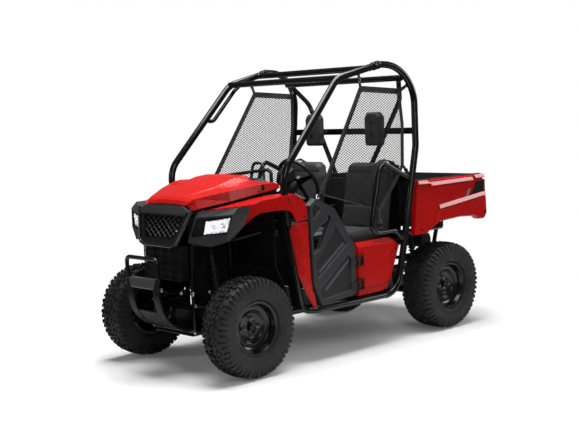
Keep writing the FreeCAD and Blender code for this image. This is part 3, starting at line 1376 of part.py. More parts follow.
def hinge_pins():
    """Pins that the doors turn on, each held above and below by a leaf on the side panel."""
    pieces = []
    reach = float(z.hinge_length) / 2
    x = float(DOOR_X) + 2
    for middle in (float(z.hinge_low_z), float(z.hinge_high_z)):
        pin = Part.makeCylinder(float(z.hinge_pin), 2 * reach + 28, point(x, HINGE_Y, middle - reach - 14))
        parts = [pin]
        for low in (middle - reach - 14, middle + reach + 2):
            eye = tube([point(x, HINGE_Y, low), point(x, HINGE_Y, low + 12)], 11.5)
            leaf = Part.makeBox(12, 60, 12, point(x - 5, HINGE_Y + 2, low))
            parts += [eye, leaf]
        back = Part.makeBox(6, 22, 2 * reach + 28, point(x - 5, HINGE_Y + 40, middle - reach - 14))
        pieces.append(joined(parts + [back]))
    return pieces


keep("door_hinges", shaped("door_hinges", Part.makeCompound(
    [piece.cut(kept["side_panels"].Shape) for half in hinge_pins() for piece in both(half)])))


# Doors: thick moulded panels hung at their rear edge, each with a three-cornered window

def door_line(places):
    """Corners drawn as (y, height) for a door whose front edge stands at its own size."""
    shift = float(behind_front(z.door_front)) + 476
    return [(y + shift, height) for y, height in places]


door_outline = door_line([
    (-474, 1008), (-414, float(z.door_top)), (-392, float(z.door_top) - 2), (-242, 974), (-76, 726), (-64, 692),
    (-62, 404), (-84, float(z.door_bottom) + 8), (-365, float(z.door_bottom) - 8), (-402, float(z.door_bottom) - 4),
    (-462, 513), (-474, 897)])
window_outline = door_line([
    (-300, 952), (-279, 914), (-387, 724), (-436, 693), (-446, 705), (-452, 811), (-413, 848), (-313, 908)])
RECESSES = [
    door_line([(-425, 1024), (-360, 984), (-440, 906), (-452, 990)]),
    door_line([(-238, 880), (-132, 731), (-420, 530), (-434, 640), (-290, 800)]),
    door_line([(-127, 671), (-104, 638), (-113, 424), (-386, 394), (-409, 462)]),
]
BAR = (door_line([(-456, 813), (-350, 832)]))


def door(side, hand):
    node = "door_" + hand
    outer = float(DOOR_X)
    inner = outer - float(z.door_thick)
    shape = side_plate(door_outline, inner, outer, z.bevel / 2)
    shape = shape.cut(skinned([[point(x, a, b) for a, b in window_outline] for x in (inner - 5, outer + 5)]))
    depth = float(z.recess_depth)
    pockets = []
    for outline in RECESSES:
        pockets.append(skinned([[point(outer + 2, a, b) for a, b in outline],
                                [point(outer - depth, a, b) for a, b in inset(outline, 8)]]))
    shape = shape.cut(pockets)
    (bar_y0, bar_z0), (bar_y1, bar_z1) = BAR
    bar = Part.makeBox(14, bar_y1 - bar_y0, bar_z1 - bar_z0, Vector(outer - 28, bar_y0, bar_z0))
    shape = joined([shape, bar])
    x = outer + 2
    for middle in (float(z.hinge_low_z), float(z.hinge_high_z)):
        start = point(x, HINGE_Y, middle - float(z.hinge_length) / 2)
        upward = Vector(0, 0, z.hinge_length.value)
        barrel = tube([start, start + upward], 12.5)
        strap = Part.makeBox(12, 60, z.hinge_length.value, start - Vector(8, 60, 0))
        bore = Part.makeCylinder(float(z.hinge_pin) + float(z.running_gap), z.hinge_length.value, start)
        room = tube([start - Vector(0, 0, 17), start + upward + Vector(0, 0, 17)], 19)
        shape = shape.cut(room).fuse([barrel, strap]).cut(bore)
    shape = shape.removeSplitter()
    return keep(node, shaped(node, shape if side > 0 else mirrored(shape)))


door(1, "left")
door(-1, "right")


# Cargo bed: a tub with outer panels that tips, and its tailgate

BED_FRONT = REAR_AXLE - z.bed_front
BED_REAR = REAR_AXLE + z.bed_rear
TUB_X = BED_X - z.bed_side
PIVOT_Y = REAR_AXLE + z.bed_pivot_y
tub_outer = block("tub_outer", -TUB_X, TUB_X, BED_FRONT, BED_REAR, z.bed_floor, z.bed_top)
tub_inner = block("tub_inner", -TUB_X + z.bed_wall, TUB_X - z.bed_wall, BED_FRONT + z.bed_wall,
                  BED_REAR + 10, z.bed_floor + z.bed_wall, z.bed_top + 10)
tub = cut("tub_box", tub_outer, tub_inner)
doc.recompute()


def tub_lugs():
    lugs_made = []
    for side in (1, -1):
        x = side * float(BED_RAIL_X) - 12
        eye = tube([point(x, PIVOT_Y, z.bed_pivot_z), point(x + 24, PIVOT_Y, z.bed_pivot_z)], 22, 1, 12)
        neck = Part.makeBox(24, 36, float(z.bed_floor - z.bed_pivot_z), point(x, PIVOT_Y - 18, z.bed_pivot_z))
        hole = Part.makeCylinder(float(z.bed_pin + z.running_gap), 24, point(x, PIVOT_Y, z.bed_pivot_z),
                                 Vector(1, 0, 0))
        lugs_made.append(eye.fuse(neck).cut(hole))
    return lugs_made


keep("cargo_tub", shaped("cargo_tub", joined([tub.Shape] + tub_lugs())))


def bed_line(places):
    """Corners drawn as (y, height) for a bed whose rear ear stands at the vehicle's rear."""
    shift = float(REAR) - 1350
    rise = float(z.bed_top) - 1084
    return [(y + shift, height + rise) for y, height in places]


bed_outline = bed_line([
    (572, 1084), (530, 708), (662, 706), (800, 775), (1035, 788), (1204, 778), (1250, 752), (1318, 748),
    (1350, 790), (1345, 898), (1314, 1081)])
top_rib = bed_line([(572, 1083), (569, 1060), (700, 1057), (716, 1037), (1183, 1043), (1206, 1062), (1316, 1062),
                    (1313, 1081)])
lower_form = bed_line([(800, 868), (1340, 924), (1345, 896), (1349, 790), (1318, 750), (1250, 753), (1204, 779),
                       (1035, 789), (800, 777), (742, 744)])
ear_hole = bed_line([(1325, 799)])[0]
front_hole = bed_line([(612, 738)])[0]


def bed_side():
    """One outer panel: a flat sheet with a proud rib on top and a proud lower form."""
    outer = float(BED_X)
    base_x = outer - float(z.bed_step)
    base = side_plate(bed_outline, TUB_X, base_x, 3)
    rib = side_plate(top_rib, base_x - 2, outer, 7)
    form = side_plate(lower_form, base_x - 2, outer, 9)
    holes = []
    for (y, height), radius in ((ear_hole, 13), (front_hole, 11)):
        holes.append(tube([Vector(outer - 24, y, height), Vector(outer + 4, y, height)], radius))
    return joined([base, rib, form]).cut(holes)


BED_SIDE = bed_side()
GATE_Z = z.bed_floor + 6
GATE_Y = BED_REAR + z.gate_gap + z.gate_thick / 2
gate_pins = []
for side in (1, -1):
    start = side * float(TUB_X) - (24 if side > 0 else 0)
    gate_pins.append(Part.makeCylinder(8, 24, point(start, GATE_Y, GATE_Z), Vector(1, 0, 0)))
keep("bed_panels", shaped("bed_panels", joined(both(BED_SIDE) + gate_pins)))


def tailgate():
    width = float(TUB_X) - 8
    half = float(z.gate_thick) / 2
    low, high = float(GATE_Z) + 2, float(z.bed_top) - 6
    panel = Part.makeBox(2 * width, 2 * half, high - low, point(-width, GATE_Y - half, low))
    recess = skinned([
        [Vector(x * side_of, y, h) for x, side_of, h in
         ((w, -1, low + 60 + e), (w, 1, low + 60 + e), (w, 1, high - 40 - e), (w, -1, high - 40 - e))]
        for y, w, e in ((float(GATE_Y) + half + 1, width - 60, 0), (float(GATE_Y) + half - 7, width - 72, 12))])
    barrel = tube([point(-width, GATE_Y, GATE_Z), point(width, GATE_Y, GATE_Z)], 13, 1, 12)
    bore = Part.makeCylinder(8 + float(z.running_gap), 30, point(-width, GATE_Y, GATE_Z), Vector(1, 0, 0))
    other = Part.makeCylinder(8 + float(z.running_gap), 30, point(width - 30, GATE_Y, GATE_Z), Vector(1, 0, 0))
    return joined([panel.cut(recess), barrel]).cut([bore, other])


keep("tailgate", shaped("tailgate", tailgate()))

lamps = []
for side in (1, -1):
    x = side * float(TUB_X + z.bed_side / 2) - 16
    lamps.append(Part.makeBox(32, 14, 90, point(x, BED_REAR + 6, 950)))
lamp_compound = Part.makeCompound([lamp.cut(kept["bed_panels"].Shape) for lamp in lamps])
keep("tail_lamps", shaped("tail_lamps", lamp_compound))


# Exhaust and hitch receiver at the rear

def exhaust():
    y = BED_POST_REAR - 20
    can = tube([point(-170, y, 590), point(210, y, 590)], z.exhaust_radius, 1, 16)
    pipe = tube([point(-100, y, 590), point(-100, y + 90, 590), point(-100, y + 150, 560)], 16, 40)
    return joined([can, pipe]).cut(FRAME)


keep("exhaust", shaped("exhaust", exhaust()))

RECEIVER_HALF = z.receiver_inside / 2 + z.receiver_wall
RECEIVER_END = REAR - 60
square = rectangle(-RECEIVER_HALF, RECEIVER_HALF, z.receiver_z - RECEIVER_HALF, z.receiver_z + RECEIVER_HALF)
opening = rectangle(-z.receiver_inside / 2, z.receiver_inside / 2, z.receiver_z - z.receiver_inside / 2,
                    z.receiver_z + z.receiver_inside / 2)
receiver_tube = pad("receiver_tube", "XZ_Plane", [square, opening], BED_POST_REAR + z.brace_tube - 4, RECEIVER_END)
pin_hole = rod("pin_hole", "X", z.hitch_pin_radius, RECEIVER_HALF * 2 + 4, -RECEIVER_HALF - 2,
               RECEIVER_END - 32, z.receiver_z)
doc.recompute()
receiver = cut("receiver_bored", receiver_tube, pin_hole)
doc.recompute()
keep("hitch_receiver", shaped("hitch_receiver", receiver.Shape.cut(FRAME)))


# Nets at the cab's sides and the seat belts

NET_TOP_X = BROW_X - 8
NET_LEAN = 38.0 / 646.0
NET_CORNERS = ((1050, 1728), (1424, 1712), (1470, 1480), (1462, 1150), (1150, 1090), (640, 1075))


def net():
    """A thin flat net that leans out from the roof rail to the door's top."""
    corners = []
    for back, height in NET_CORNERS:
        corners.append(point(NET_TOP_X + (1706 - height) * NET_LEAN, behind_front(back), height))
    face = flat_face(corners)
    return face.extrude(Vector(4, 0, 4 * NET_LEAN))


keep("side_nets", shaped("side_nets", Part.makeCompound(both(net()))))

belts = []
for side in (1, -1):
    x = side * (float(z.headrest_x) + 130)
    strap = Part.makeBox(48, 3, 250, point(x - 24, HOOP_Y - 12, 1180))
    reel = Part.makeBox(60, 40, 60, point(x - 30, HOOP_Y - 56, 1186))
    belts.append(strap.fuse(reel))
belt_compound = Part.makeCompound(belts).cut(REAR_CAGE)
keep("seat_belts", shaped("seat_belts", belt_compound))


# Every object has to be sound before anything is written

doc.recompute()
problems = []
for thing in doc.Objects:
    if "Invalid" in thing.State or "Error" in thing.State:
        problems.append("%s is %s" % (thing.Label, thing.State))
for node, thing in kept.items():
    if thing.Shape.isNull() or not thing.Shape.isValid():
        problems.append(node + " has no valid shape")
if problems:
    raise RuntimeError("; ".join(problems))

os.makedirs("parts", exist_ok=True)
for node, thing in kept.items():
    thing.Shape.exportStep("parts/%s.step" % node)
print("wrote %d sub-parts" % len(kept))
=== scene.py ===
import json
import math

import bmesh
import bpy
from mathutils import Matrix, Vector


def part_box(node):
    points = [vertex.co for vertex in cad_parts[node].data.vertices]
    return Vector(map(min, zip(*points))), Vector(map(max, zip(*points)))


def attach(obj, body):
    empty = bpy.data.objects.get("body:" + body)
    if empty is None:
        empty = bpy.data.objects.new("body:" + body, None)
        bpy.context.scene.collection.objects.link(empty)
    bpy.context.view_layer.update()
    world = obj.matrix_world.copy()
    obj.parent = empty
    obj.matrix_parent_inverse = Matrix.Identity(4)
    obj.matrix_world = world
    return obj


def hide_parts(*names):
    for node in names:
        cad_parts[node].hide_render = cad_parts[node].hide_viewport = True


# The looks of a two-seat side by side vehicle: metres, +Z up, its front along -Y, driver on +X.

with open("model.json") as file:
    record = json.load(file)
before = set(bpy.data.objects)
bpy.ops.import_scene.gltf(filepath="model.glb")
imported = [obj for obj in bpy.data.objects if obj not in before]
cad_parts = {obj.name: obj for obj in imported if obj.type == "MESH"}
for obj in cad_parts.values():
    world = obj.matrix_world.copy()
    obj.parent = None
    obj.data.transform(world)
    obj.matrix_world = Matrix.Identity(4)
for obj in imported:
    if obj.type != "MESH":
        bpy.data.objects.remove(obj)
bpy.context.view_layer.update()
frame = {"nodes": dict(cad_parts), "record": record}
nodes = frame["nodes"]
bodies = frame["record"]["behaviour"]["bodies"]
body_of = {node: body for body, members in bodies.items() for node in members}
FRONT_AXLE, REAR_AXLE, AXLE_Z = -0.950, 0.904, 0.310
HALF_WIDTH = 0.635
HANDS = ((1, "left"), (-1, "right"))


# Materials

MIX_COLOURS_IN, MIX_COLOUR_OUT = (6, 7), 2
NOISE_LOW, NOISE_HIGH = 0.3, 0.7


def new_material(name):
    material = bpy.data.materials.new(name)
    material.use_nodes = True
    tree = material.node_tree
    return material, tree, tree.nodes["Principled BSDF"]


def feed(tree, node, **inputs):
    """Set or link some of a node's inputs; underscores stand for spaces."""
    for key, value in inputs.items():
        socket = node.inputs[key.replace("_", " ")]
        if isinstance(value, bpy.types.NodeSocket):
            tree.links.new(value, socket)
        else:
            socket.default_value = value
    return node


def add(tree, kind, **inputs):
    return feed(tree, tree.nodes.new("ShaderNode" + kind), **inputs)


def calculate(tree, operation, first, second):
    node = tree.nodes.new("ShaderNodeMath")
    node.operation = operation
    for socket, value in zip(node.inputs, (first, second)):
        if isinstance(value, (int, float)):
            socket.default_value = value
        else:
            tree.links.new(value, socket)
    return node.outputs[0]


def object_coordinates(tree, scale=(1, 1, 1)):
    """Places on the piece in metres, which no camera changes."""
    places = add(tree, "TexCoord").outputs["Object"]
    return add(tree, "Mapping", Vector=places, Scale=scale).outputs["Vector"]


def noise(tree, scale, detail=3.0, roughness=0.5, stretch=(1, 1, 1)):
    places = object_coordinates(tree, stretch)
    node = add(tree, "TexNoise", Vector=places, Scale=scale, Detail=detail, Roughness=roughness)
    return node.outputs["Fac"]


def ramp(tree, source, low, high, start, end):
    """Spread a value between two others."""
    node = add(tree, "MapRange", Value=source, From_Min=low, From_Max=high, To_Min=start, To_Max=end)
    return node.outputs["Result"]


def drift(tree, scale, start, end, detail=3.0):
    """A value that wanders between two others over the surface."""
    return ramp(tree, noise(tree, scale, detail), NOISE_LOW, NOISE_HIGH, start, end)


def mix_colours(tree, factor, first, second):
    """A colour between two others, on the mix node's sockets for colours."""
    node = tree.nodes.new("ShaderNodeMix")
    node.data_type = "RGBA"
    tree.links.new(factor, node.inputs["Factor"])
    for socket, colour in zip(MIX_COLOURS_IN, (first, second)):
        node.inputs[socket].default_value = (*colour, 1)
    return node.outputs[MIX_COLOUR_OUT]


def finish_of(name, dark, light, rough, rough_spread=0.05, grain=400.0, grain_depth=0.0001, metallic=0.0,
              coat=0.0, edge=0.002, cloud=3.0, shine=0.5):
    """A finish with a slow drift of colour, uneven gloss, a fine grain and edges that look rounded.

    A colour may be one number, for a neutral grey.
    """
    material, tree, shader = new_material(name)
    dark, light = (colour if isinstance(colour, tuple) else (colour,) * 3 for colour in (dark, light))
    soft_edge = add(tree, "Bevel", Radius=edge)
    soft_edge.samples = 4
    surface = add(tree, "Bump", Height=noise(tree, grain, 2.0), Strength=0.5, Distance=grain_depth,
                  Normal=soft_edge.outputs["Normal"])
    feed(tree, shader, Base_Color=mix_colours(tree, drift(tree, cloud, 0, 1), dark, light),
         Roughness=drift(tree, 38.0, rough - rough_spread, rough + rough_spread, 4.0), Metallic=metallic,
         Coat_Weight=coat, Coat_Roughness=0.06, Specular_IOR_Level=shine, Normal=surface.outputs["Normal"])
    return material


def cloth_of(name, dark, light, pitch, depth):
    """Woven cloth: two sets of threads cross on each face."""
    material, tree, shader = new_material(name)
    places = object_coordinates(tree)
    heights = []
    for direction in ("X", "Z"):
        wave = add(tree, "TexWave", Vector=places, Scale=math.pi / (10 * pitch), Distortion=0.0)
        wave.bands_direction = direction
        heights.append(wave.outputs["Fac"])
    both = calculate(tree, "MULTIPLY", *heights)
    surface = add(tree, "Bump", Height=both, Strength=0.7, Distance=depth)
    feed(tree, shader, Base_Color=mix_colours(tree, both, dark, light), Roughness=0.85, Sheen_Weight=0.15,
         Normal=surface.outputs["Normal"])
    return material


def vinyl():
    """Black seat cover: a fine open weave between its seams, with soft creases."""
    material, tree, shader = new_material("seat_vinyl")
    cells = add(tree, "TexVoronoi", Vector=object_coordinates(tree), Scale=260.0)
    fine = ramp(tree, cells.outputs["Distance"], 0.0, 0.6, 0, 1)
    crease = calculate(tree, "MULTIPLY", noise(tree, 7.0, 5.0, 0.6, (1, 1, 2)), 2.4)
    both = calculate(tree, "ADD", crease, calculate(tree, "MULTIPLY", fine, 0.2))
    surface = add(tree, "Bump", Height=both, Strength=0.6, Distance=0.003)
    feed(tree, shader, Base_Color=mix_colours(tree, fine, (0.012, 0.012, 0.013), (0.034, 0.034, 0.036)),
         Roughness=drift(tree, 9.0, 0.5, 0.68), Specular_IOR_Level=0.25, Normal=surface.outputs["Normal"])
    return material


def lens_material():
    """Clear moulded polycarbonate."""
    material, tree, shader = new_material("clear_lens")
    feed(tree, shader, Base_Color=(1, 1, 1, 1), Transmission_Weight=1.0, IOR=1.18,
         Roughness=drift(tree, 60.0, 0.0, 0.04))
    return material


# Each finish: darkest and lightest colour, roughness and its spread, grain and its depth, the rest by name
FINISH_TABLE = {
    "red_body": ((0.42, 0.005, 0.004), (0.47, 0.007, 0.005), 0.26, 0.03, 500, 0.00002,
                 dict(coat=0.04, edge=0.004, shine=0.14)),
    # A lighter, glossier copy of the red: the lighter colour is a painted highlight on the bed's ledges
    "red_painted_highlight": ((0.46, 0.010, 0.008), (0.50, 0.014, 0.010), 0.30, 0.03, 500, 0.00002,
                  dict(coat=0.25, edge=0.003)),
    # A darker red that paints shade into the side panel's creases
    "red_painted_shade": ((0.13, 0.003, 0.002), (0.16, 0.004, 0.003), 0.40, 0.04, dict(shine=0.2)),
    "black_frame": (0.002, 0.003, 0.16, 0.04, 500, 0.00002, dict(edge=0.006, shine=0.35)),
    "tyre": ((0.016, 0.016, 0.017), (0.024, 0.024, 0.025), 0.60, 0.08, 300, 0.0002,
             dict(edge=0.0015, cloud=12.0, shine=0.22)),
    "black_rim": (0.003, 0.005, 0.20, 0.05, dict(shine=0.35)),
    "charcoal_plastic": ((0.020, 0.020, 0.022), (0.029, 0.028, 0.031), 0.48, 0.06, 700, 0.0002,
                         dict(edge=0.003, shine=0.25)),
    # A darker charcoal that paints shade on the floors of the door's pockets
    "charcoal_painted_shade": ((0.013, 0.013, 0.014), (0.019, 0.019, 0.020), 0.50, 0.06, 700, 0.0002, dict(shine=0.2)),
    # A lighter charcoal that paints highlights on the door's pocket edges, ribs and window edge
    "charcoal_painted_highlight": ((0.050, 0.050, 0.053), (0.075, 0.075, 0.079), 0.38, 0.06, 700, 0.0001, dict(shine=0.3)),
    "black_plastic": (0.003, 0.006, 0.50, 0.08, 700, 0.0002, dict(shine=0.15)),
    "grey_plate": ((0.020, 0.020, 0.021), (0.034, 0.034, 0.035), 0.38, 0.06, 600, 0.0001, dict(shine=0.3)),
    "lamp_red": ((0.35, 0.004, 0.004), (0.45, 0.008, 0.006), 0.12, 0.03, dict(coat=1.0)),
    "bare_metal": ((0.42, 0.42, 0.43), 0.65, 0.28, 0.1, 300, 0.0001, dict(metallic=1.0)),
    "cast_metal": (0.006, 0.013, 0.42, 0.1, 200, 0.0004, dict(metallic=0.4, shine=0.3)),
    "nut_metal": (0.11, 0.20, 0.22, 0.08, 200, 0.0002, dict(metallic=1.0)),
    "soft_grip": (0.004, 0.010, 0.42, 0.05, 700, 0.0003, dict(edge=0.005, shine=0.3)),
    "mirror_metal": ((0.80, 0.80, 0.81), (0.92, 0.92, 0.93), 0.12, 0.05, 90, 0.0006, dict(metallic=1.0)),
    "gloss_black": (0.003, 0.005, 0.09, 0.03, dict(coat=0.5)),
    "plate_satin": ((0.045, 0.045, 0.046), (0.065, 0.065, 0.066), 0.34, 0.05, {}),
    "bed_liner": ((0.010, 0.010, 0.011), (0.018, 0.018, 0.019), 0.55, 0.08, 300, 0.0003, dict(shine=0.25)),
    "grey_paint": ((0.20, 0.20, 0.21), (0.27, 0.27, 0.28), 0.30, 0.05, {}),
}
FINISHES = {name: finish_of(name, *row[:-1], **row[-1]) for name, row in FINISH_TABLE.items()}
FINISHES["seat_vinyl"] = vinyl()
FINISHES["webbing"] = cloth_of("webbing", (0.006, 0.006, 0.007), (0.022, 0.022, 0.024), 0.0022, 0.0004)
FINISHES["lens"] = lens_material()

SLOT_OF = {part["node"]: part["material_slot"] for part in frame["record"]["subparts"]}
DARK_NODES = {"shock_absorbers": "cast_metal", "radiator": "black_plastic", "exhaust": "cast_metal",
              "arch_liners": "black_plastic", "tie_rods": "cast_metal", "cargo_tub": "bed_liner"}


def dress(piece, finish):
    piece.data.materials.clear()
    piece.data.materials.append(FINISHES[finish])


for node, piece in nodes.items():
    dress(piece, DARK_NODES.get(node, SLOT_OF[node]))


# Forms

def sided(side, point):
    """A point given on the left side, or its mirror image where the side is -1."""
    return Vector((side * point[0], point[1], point[2]))


def mirrored(points):
    return [sided(-1, point) for point in points]


def around(points):
    """Each point with the next one, and the last with the first."""
    return zip(points, points[1:] + points[:1])


def circle(place, side, other, radius, sides):
    """Points round a place, in the plane of two directions."""
    angles = [2 * math.pi * k / sides for k in range(sides)]
    return [place + (side * math.cos(angle) + other * math.sin(angle)) * radius for angle in angles]


def placed(name, data):
    """A new object in the scene."""
    made = bpy.data.objects.new(name, data)
    bpy.context.scene.collection.objects.link(made)
    return made


class Form:
    """Points and faces gathered into one mesh."""

    def __init__(self):
        self.points = []
        self.faces = []

    def loft(self, rings, closed=False):
        """Skin rings of the same number of points."""
        count = len(rings[0])
        base = len(self.points)
        for ring in rings:
            self.points += [Vector(p) for p in ring]
        last = len(rings) if closed else len(rings) - 1
        for r in range(last):
            a = base + r * count
            b = base + ((r + 1) % len(rings)) * count
            for i in range(count):
                j = (i + 1) % count
                self.faces.append((a + i, a + j, b + j, b + i))
        if not closed:
            self.faces.append(tuple(base + i for i in reversed(range(count))))
            self.faces.append(tuple(base + last * count + i for i in range(count)))

    def pipe(self, path, radius, sides=12, closed=False):
        """A round tube along a path; the radius may be a list with one value for each point."""
        path = [Vector(p) for p in path]
        radii = radius if isinstance(radius, (list, tuple)) else [radius] * len(path)
        rings = []
        side = None
        for i, place in enumerate(path):
            before = path[i - 1] if i or closed else place
            after = path[(i + 1) % len(path)] if i < len(path) - 1 or closed else place
            way = (after - before).normalized()
            if side is None:
                side = way.orthogonal()
            side = (side - way * side.dot(way)).normalized()
            rings.append(circle(place, side, way.cross(side), radii[i], sides))
        self.loft(rings, closed)

    def turned(self, foot, way, profile, sides):
        """A round shape along a direction; its profile is (distance from the foot, radius)."""
        self.pipe([foot + way * along for along, _ in profile], [radius for _, radius in profile], sides)

    def strap(self, path, width, thick, facing):
        """Flat webbing along a path, its broad side towards a direction."""
        path = [Vector(p) for p in path]
        facing = Vector(facing)
        half, rim = width / 2, thick / 2
        shape = ((-half, -rim * 0.3), (-half * 0.94, -rim), (half * 0.94, -rim), (half, -rim * 0.3),
                 (half, rim * 0.3), (half * 0.94, rim), (-half * 0.94, rim), (-half, rim * 0.3))
        rings = []
        for i, place in enumerate(path):
            way = (path[min(i + 1, len(path) - 1)] - path[max(i - 1, 0)]).normalized()
            across = way.cross(facing).normalized()
            out = across.cross(way).normalized()
            rings.append([place + across * a + out * b for a, b in shape])
        self.loft(rings)

    def spun(self, profile, centre, steps):
        """A ring about the X axis through a centre; its profile is (along X, radius)."""
        rings = []
        for k in range(steps):
            angle = 2 * math.pi * k / steps
            rings.append([centre + Vector((x, r * math.sin(angle), r * math.cos(angle))) for x, r in profile])
        self.loft(rings, closed=True)

    def block(self, low, high, bevel, side=1):
        """A box with chamfered edges, its corners given on the left side."""
        low, high = sided(side, low), sided(side, high)
        low.x, high.x = min(low.x, high.x), max(low.x, high.x)
        e = min(bevel, (high.x - low.x) / 3, (high.y - low.y) / 3)
        rings = []
        for z, inward in ((low.z, bevel), (low.z + bevel, 0), (high.z - bevel, 0), (high.z, bevel)):
            a, b = low.x + inward, high.x - inward
            c, d = low.y + inward, high.y - inward
            rings.append([(a + e, c, z), (b - e, c, z), (b, c + e, z), (b, d - e, z),
                          (b - e, d, z), (a + e, d, z), (a, d - e, z), (a, c + e, z)])
        self.loft(rings)

    def brick(self, middle, half, bevel):
        """A box round its middle."""
        self.block(middle - Vector(half), middle + Vector(half), bevel)

    def bolt(self, place, way, radius, height):
        """A hexagon head on a washer."""
        place, way = Vector(place), Vector(way).normalized()
        side = way.orthogonal().normalized()
        other = way.cross(side)
        washer = ((1.45, -0.002), (1.45, 0.0012), (1.3, 0.0018))
        head = ((1, 0), (1, height * 0.8), (0.82, height))
        for sides, profile in ((18, washer), (6, head)):
            self.loft([circle(place + way * along, side, other, radius * size, sides)
                       for size, along in profile])

    def piece(self, name, slot, finish=None, smooth=35.0, replaced=None, body="root"):
        """The finished object, riding on its body; edges sharper than an angle in degrees stay sharp."""
        mesh = bpy.data.meshes.new(name)
        mesh.from_pydata([tuple(p) for p in self.points], [], self.faces)
        mesh.update()
        mesh.polygons.foreach_set("use_smooth", [True] * len(mesh.polygons))
        shape = bmesh.new()
        shape.from_mesh(mesh)
        bmesh.ops.recalc_face_normals(shape, faces=shape.faces)
        for edge in shape.edges:
            edge.smooth = len(edge.link_faces) != 2 or edge.calc_face_angle(0) <= math.radians(smooth)
        shape.to_mesh(mesh)
        shape.free()
        made = placed(name, mesh)
        dress(made, finish or slot)
        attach(made, body)
        if replaced:
            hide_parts(replaced)
        return made


# Wheels

WHEELS = (
    ("front_left", 1, FRONT_AXLE, 0.205), ("front_right", -1, FRONT_AXLE, 0.205),
    ("rear_left", 1, REAR_AXLE, 0.250), ("rear_right", -1, REAR_AXLE, 0.250),
)
PITCHES = 26
TREAD = 0.2955
PITCH = 2 * math.pi * TREAD / PITCHES
RIDGES = PITCHES * 4

# The carcass: shares of the half width, and radii
CARCASS = (
    (0.86, 0.176), (0.89, 0.182), (0.90, 0.187), (0.955, 0.206), (0.975, 0.226), (0.965, 0.246),
    (0.93, 0.264), (0.84, 0.283), (0.60, 0.2935), (0.25, TREAD),
)
# Rubber blocks as sections: share of the half width, radius, lean, start and end along the tread, height
MIDDLE_BLOCKS = (
    ((0.04, TREAD, 0, -0.020, -0.001, 0.0145), (0.24, TREAD, 0, -0.002, 0.016, 0.0145),
     (0.34, TREAD - 0.001, 0, 0.012, 0.026, 0.0135)),
    ((0.40, TREAD - 0.001, 0, -0.014, 0.008, 0.0135), (0.60, TREAD - 0.002, 0.06, -0.006, 0.014, 0.0130)),
    ((0.10, TREAD, 0, 0.028, 0.040, 0.0135), (0.30, TREAD, 0, 0.036, 0.050, 0.0135)),
)
SHOULDER = (
    (0.67, TREAD - 0.004, 0.15, 0.010, 0.034, 0.0130), (0.83, TREAD - 0.011, 0.45, 0.008, 0.034, 0.0120),
    (0.925, 0.267, 0.95, 0.006, 0.033, 0.0075),
)
LONG_END, SHORT_END = (0.958, 0.248, 1.3, 0.005, 0.032, 0.0022), (0.93, 0.264, 1.3, 0.005, 0.032, 0.0022)
SIDE_LUG = (
    (0.72, TREAD - 0.006, 0.2, 0.047, 0.066, 0.0125), (0.86, TREAD - 0.014, 0.5, 0.046, 0.067, 0.0105),
    (0.94, 0.260, 1.1, 0.046, 0.066, 0.0055), (0.965, 0.240, 1.45, 0.047, 0.064, 0.0018),
)
RIDGE = ((0.902, 0.190, 1.2, -0.0022, 0.0022, 0.0014), (0.955, 0.207, 1.4, -0.0022, 0.0022, 0.0014))


def on_wheel(centre, x, radius, angle):
    return centre + Vector((x, radius * math.sin(angle), radius * math.cos(angle)))


def tread_block(form, centre, half, at, sections):
    """A rubber block lofted across the tread; a negative half width puts it on the other half."""
    hand = 1 if half > 0 else -1
    rings = []
    for share, radius, lean, start, end, height in sections:
        x = share * half
        top_x, top = x + math.sin(hand * lean) * height, radius + math.cos(lean) * height
        start, end = (at + start) / TREAD, (at + end) / TREAD
        slope = (end - start) * 0.10
        rings.append([on_wheel(centre, x, radius - 0.003, start), on_wheel(centre, top_x, top, start + slope),
                      on_wheel(centre, top_x, top, end - slope), on_wheel(centre, x, radius - 0.003, end)])
    form.loft(rings)


def tyre(name, side, y, width):
    """An off-road tyre: a rounded carcass, blocks in the middle and long lugs on its shoulders."""
    half = width / 2
    centre = Vector((side * (HALF_WIDTH - half), y, AXLE_Z))
    bead = half * 0.74 - 0.006
    outer = [(bead, 0.152), (bead + 0.002, 0.170)] + [(share * half, radius) for share, radius in CARCASS]
    form = Form()
    form.spun(outer + [(-x, r) for x, r in reversed(outer)], centre, 104)
    for index in range(PITCHES):
        shoulder = SHOULDER + ((SHORT_END if index % 2 else LONG_END),)
        for hand in (1, -1):
            at = PITCH * (index + (0.5 if hand < 0 else 0.0))
            for sections in (*MIDDLE_BLOCKS, shoulder, SIDE_LUG):
                tread_block(form, centre, hand * half, at, sections)
    for hand in (1, -1):
        for index in range(RIDGES):
            tread_block(form, centre, hand * half, 2 * math.pi * TREAD * index / RIDGES, RIDGE)
    form.piece("knobby_tyre_" + name, "tyre", smooth=32, replaced="tyre_" + name, body="wheel_" + name)


# The rim's section as (along X, radius): from its half width, then from its face, then from its back
RIM_LIP = (
    (-0.007, 0.150), (-0.007, 0.165), (-0.005, 0.168), (-0.002, 0.1675), (0, 0.165), (0, 0.158),
    (-0.002, 0.151), (-0.007, 0.1475), (-0.020, 0.144), (-0.024, 0.1405),
)
RIM_DISH = (
    (0.036, 0.1385), (0.024, 0.135), (0.016, 0.124), (0.013, 0.112), (0.013, 0.106), (0.0165, 0.103),
    (0.0185, 0.099), (0.0165, 0.095), (0.010, 0.091), (0.006, 0.084), (0.006, 0.046), (0.010, 0.041),
    (0.012, 0.036), (0.010, 0.030), (0.006, 0.024), (0.006, 0.0156), (0, 0.0156), (0, 0.090), (0.010, 0.122),
    (0.018, 0.132),
)
RIM_BACK = ((0.02, 0.134), (0, 0.146), (0, 0.168), (0.006, 0.166), (0.008, 0.152))
NUT_CIRCLE, VALVE_CIRCLE, VALVE_ANGLE = 0.055, 0.137, 0.9


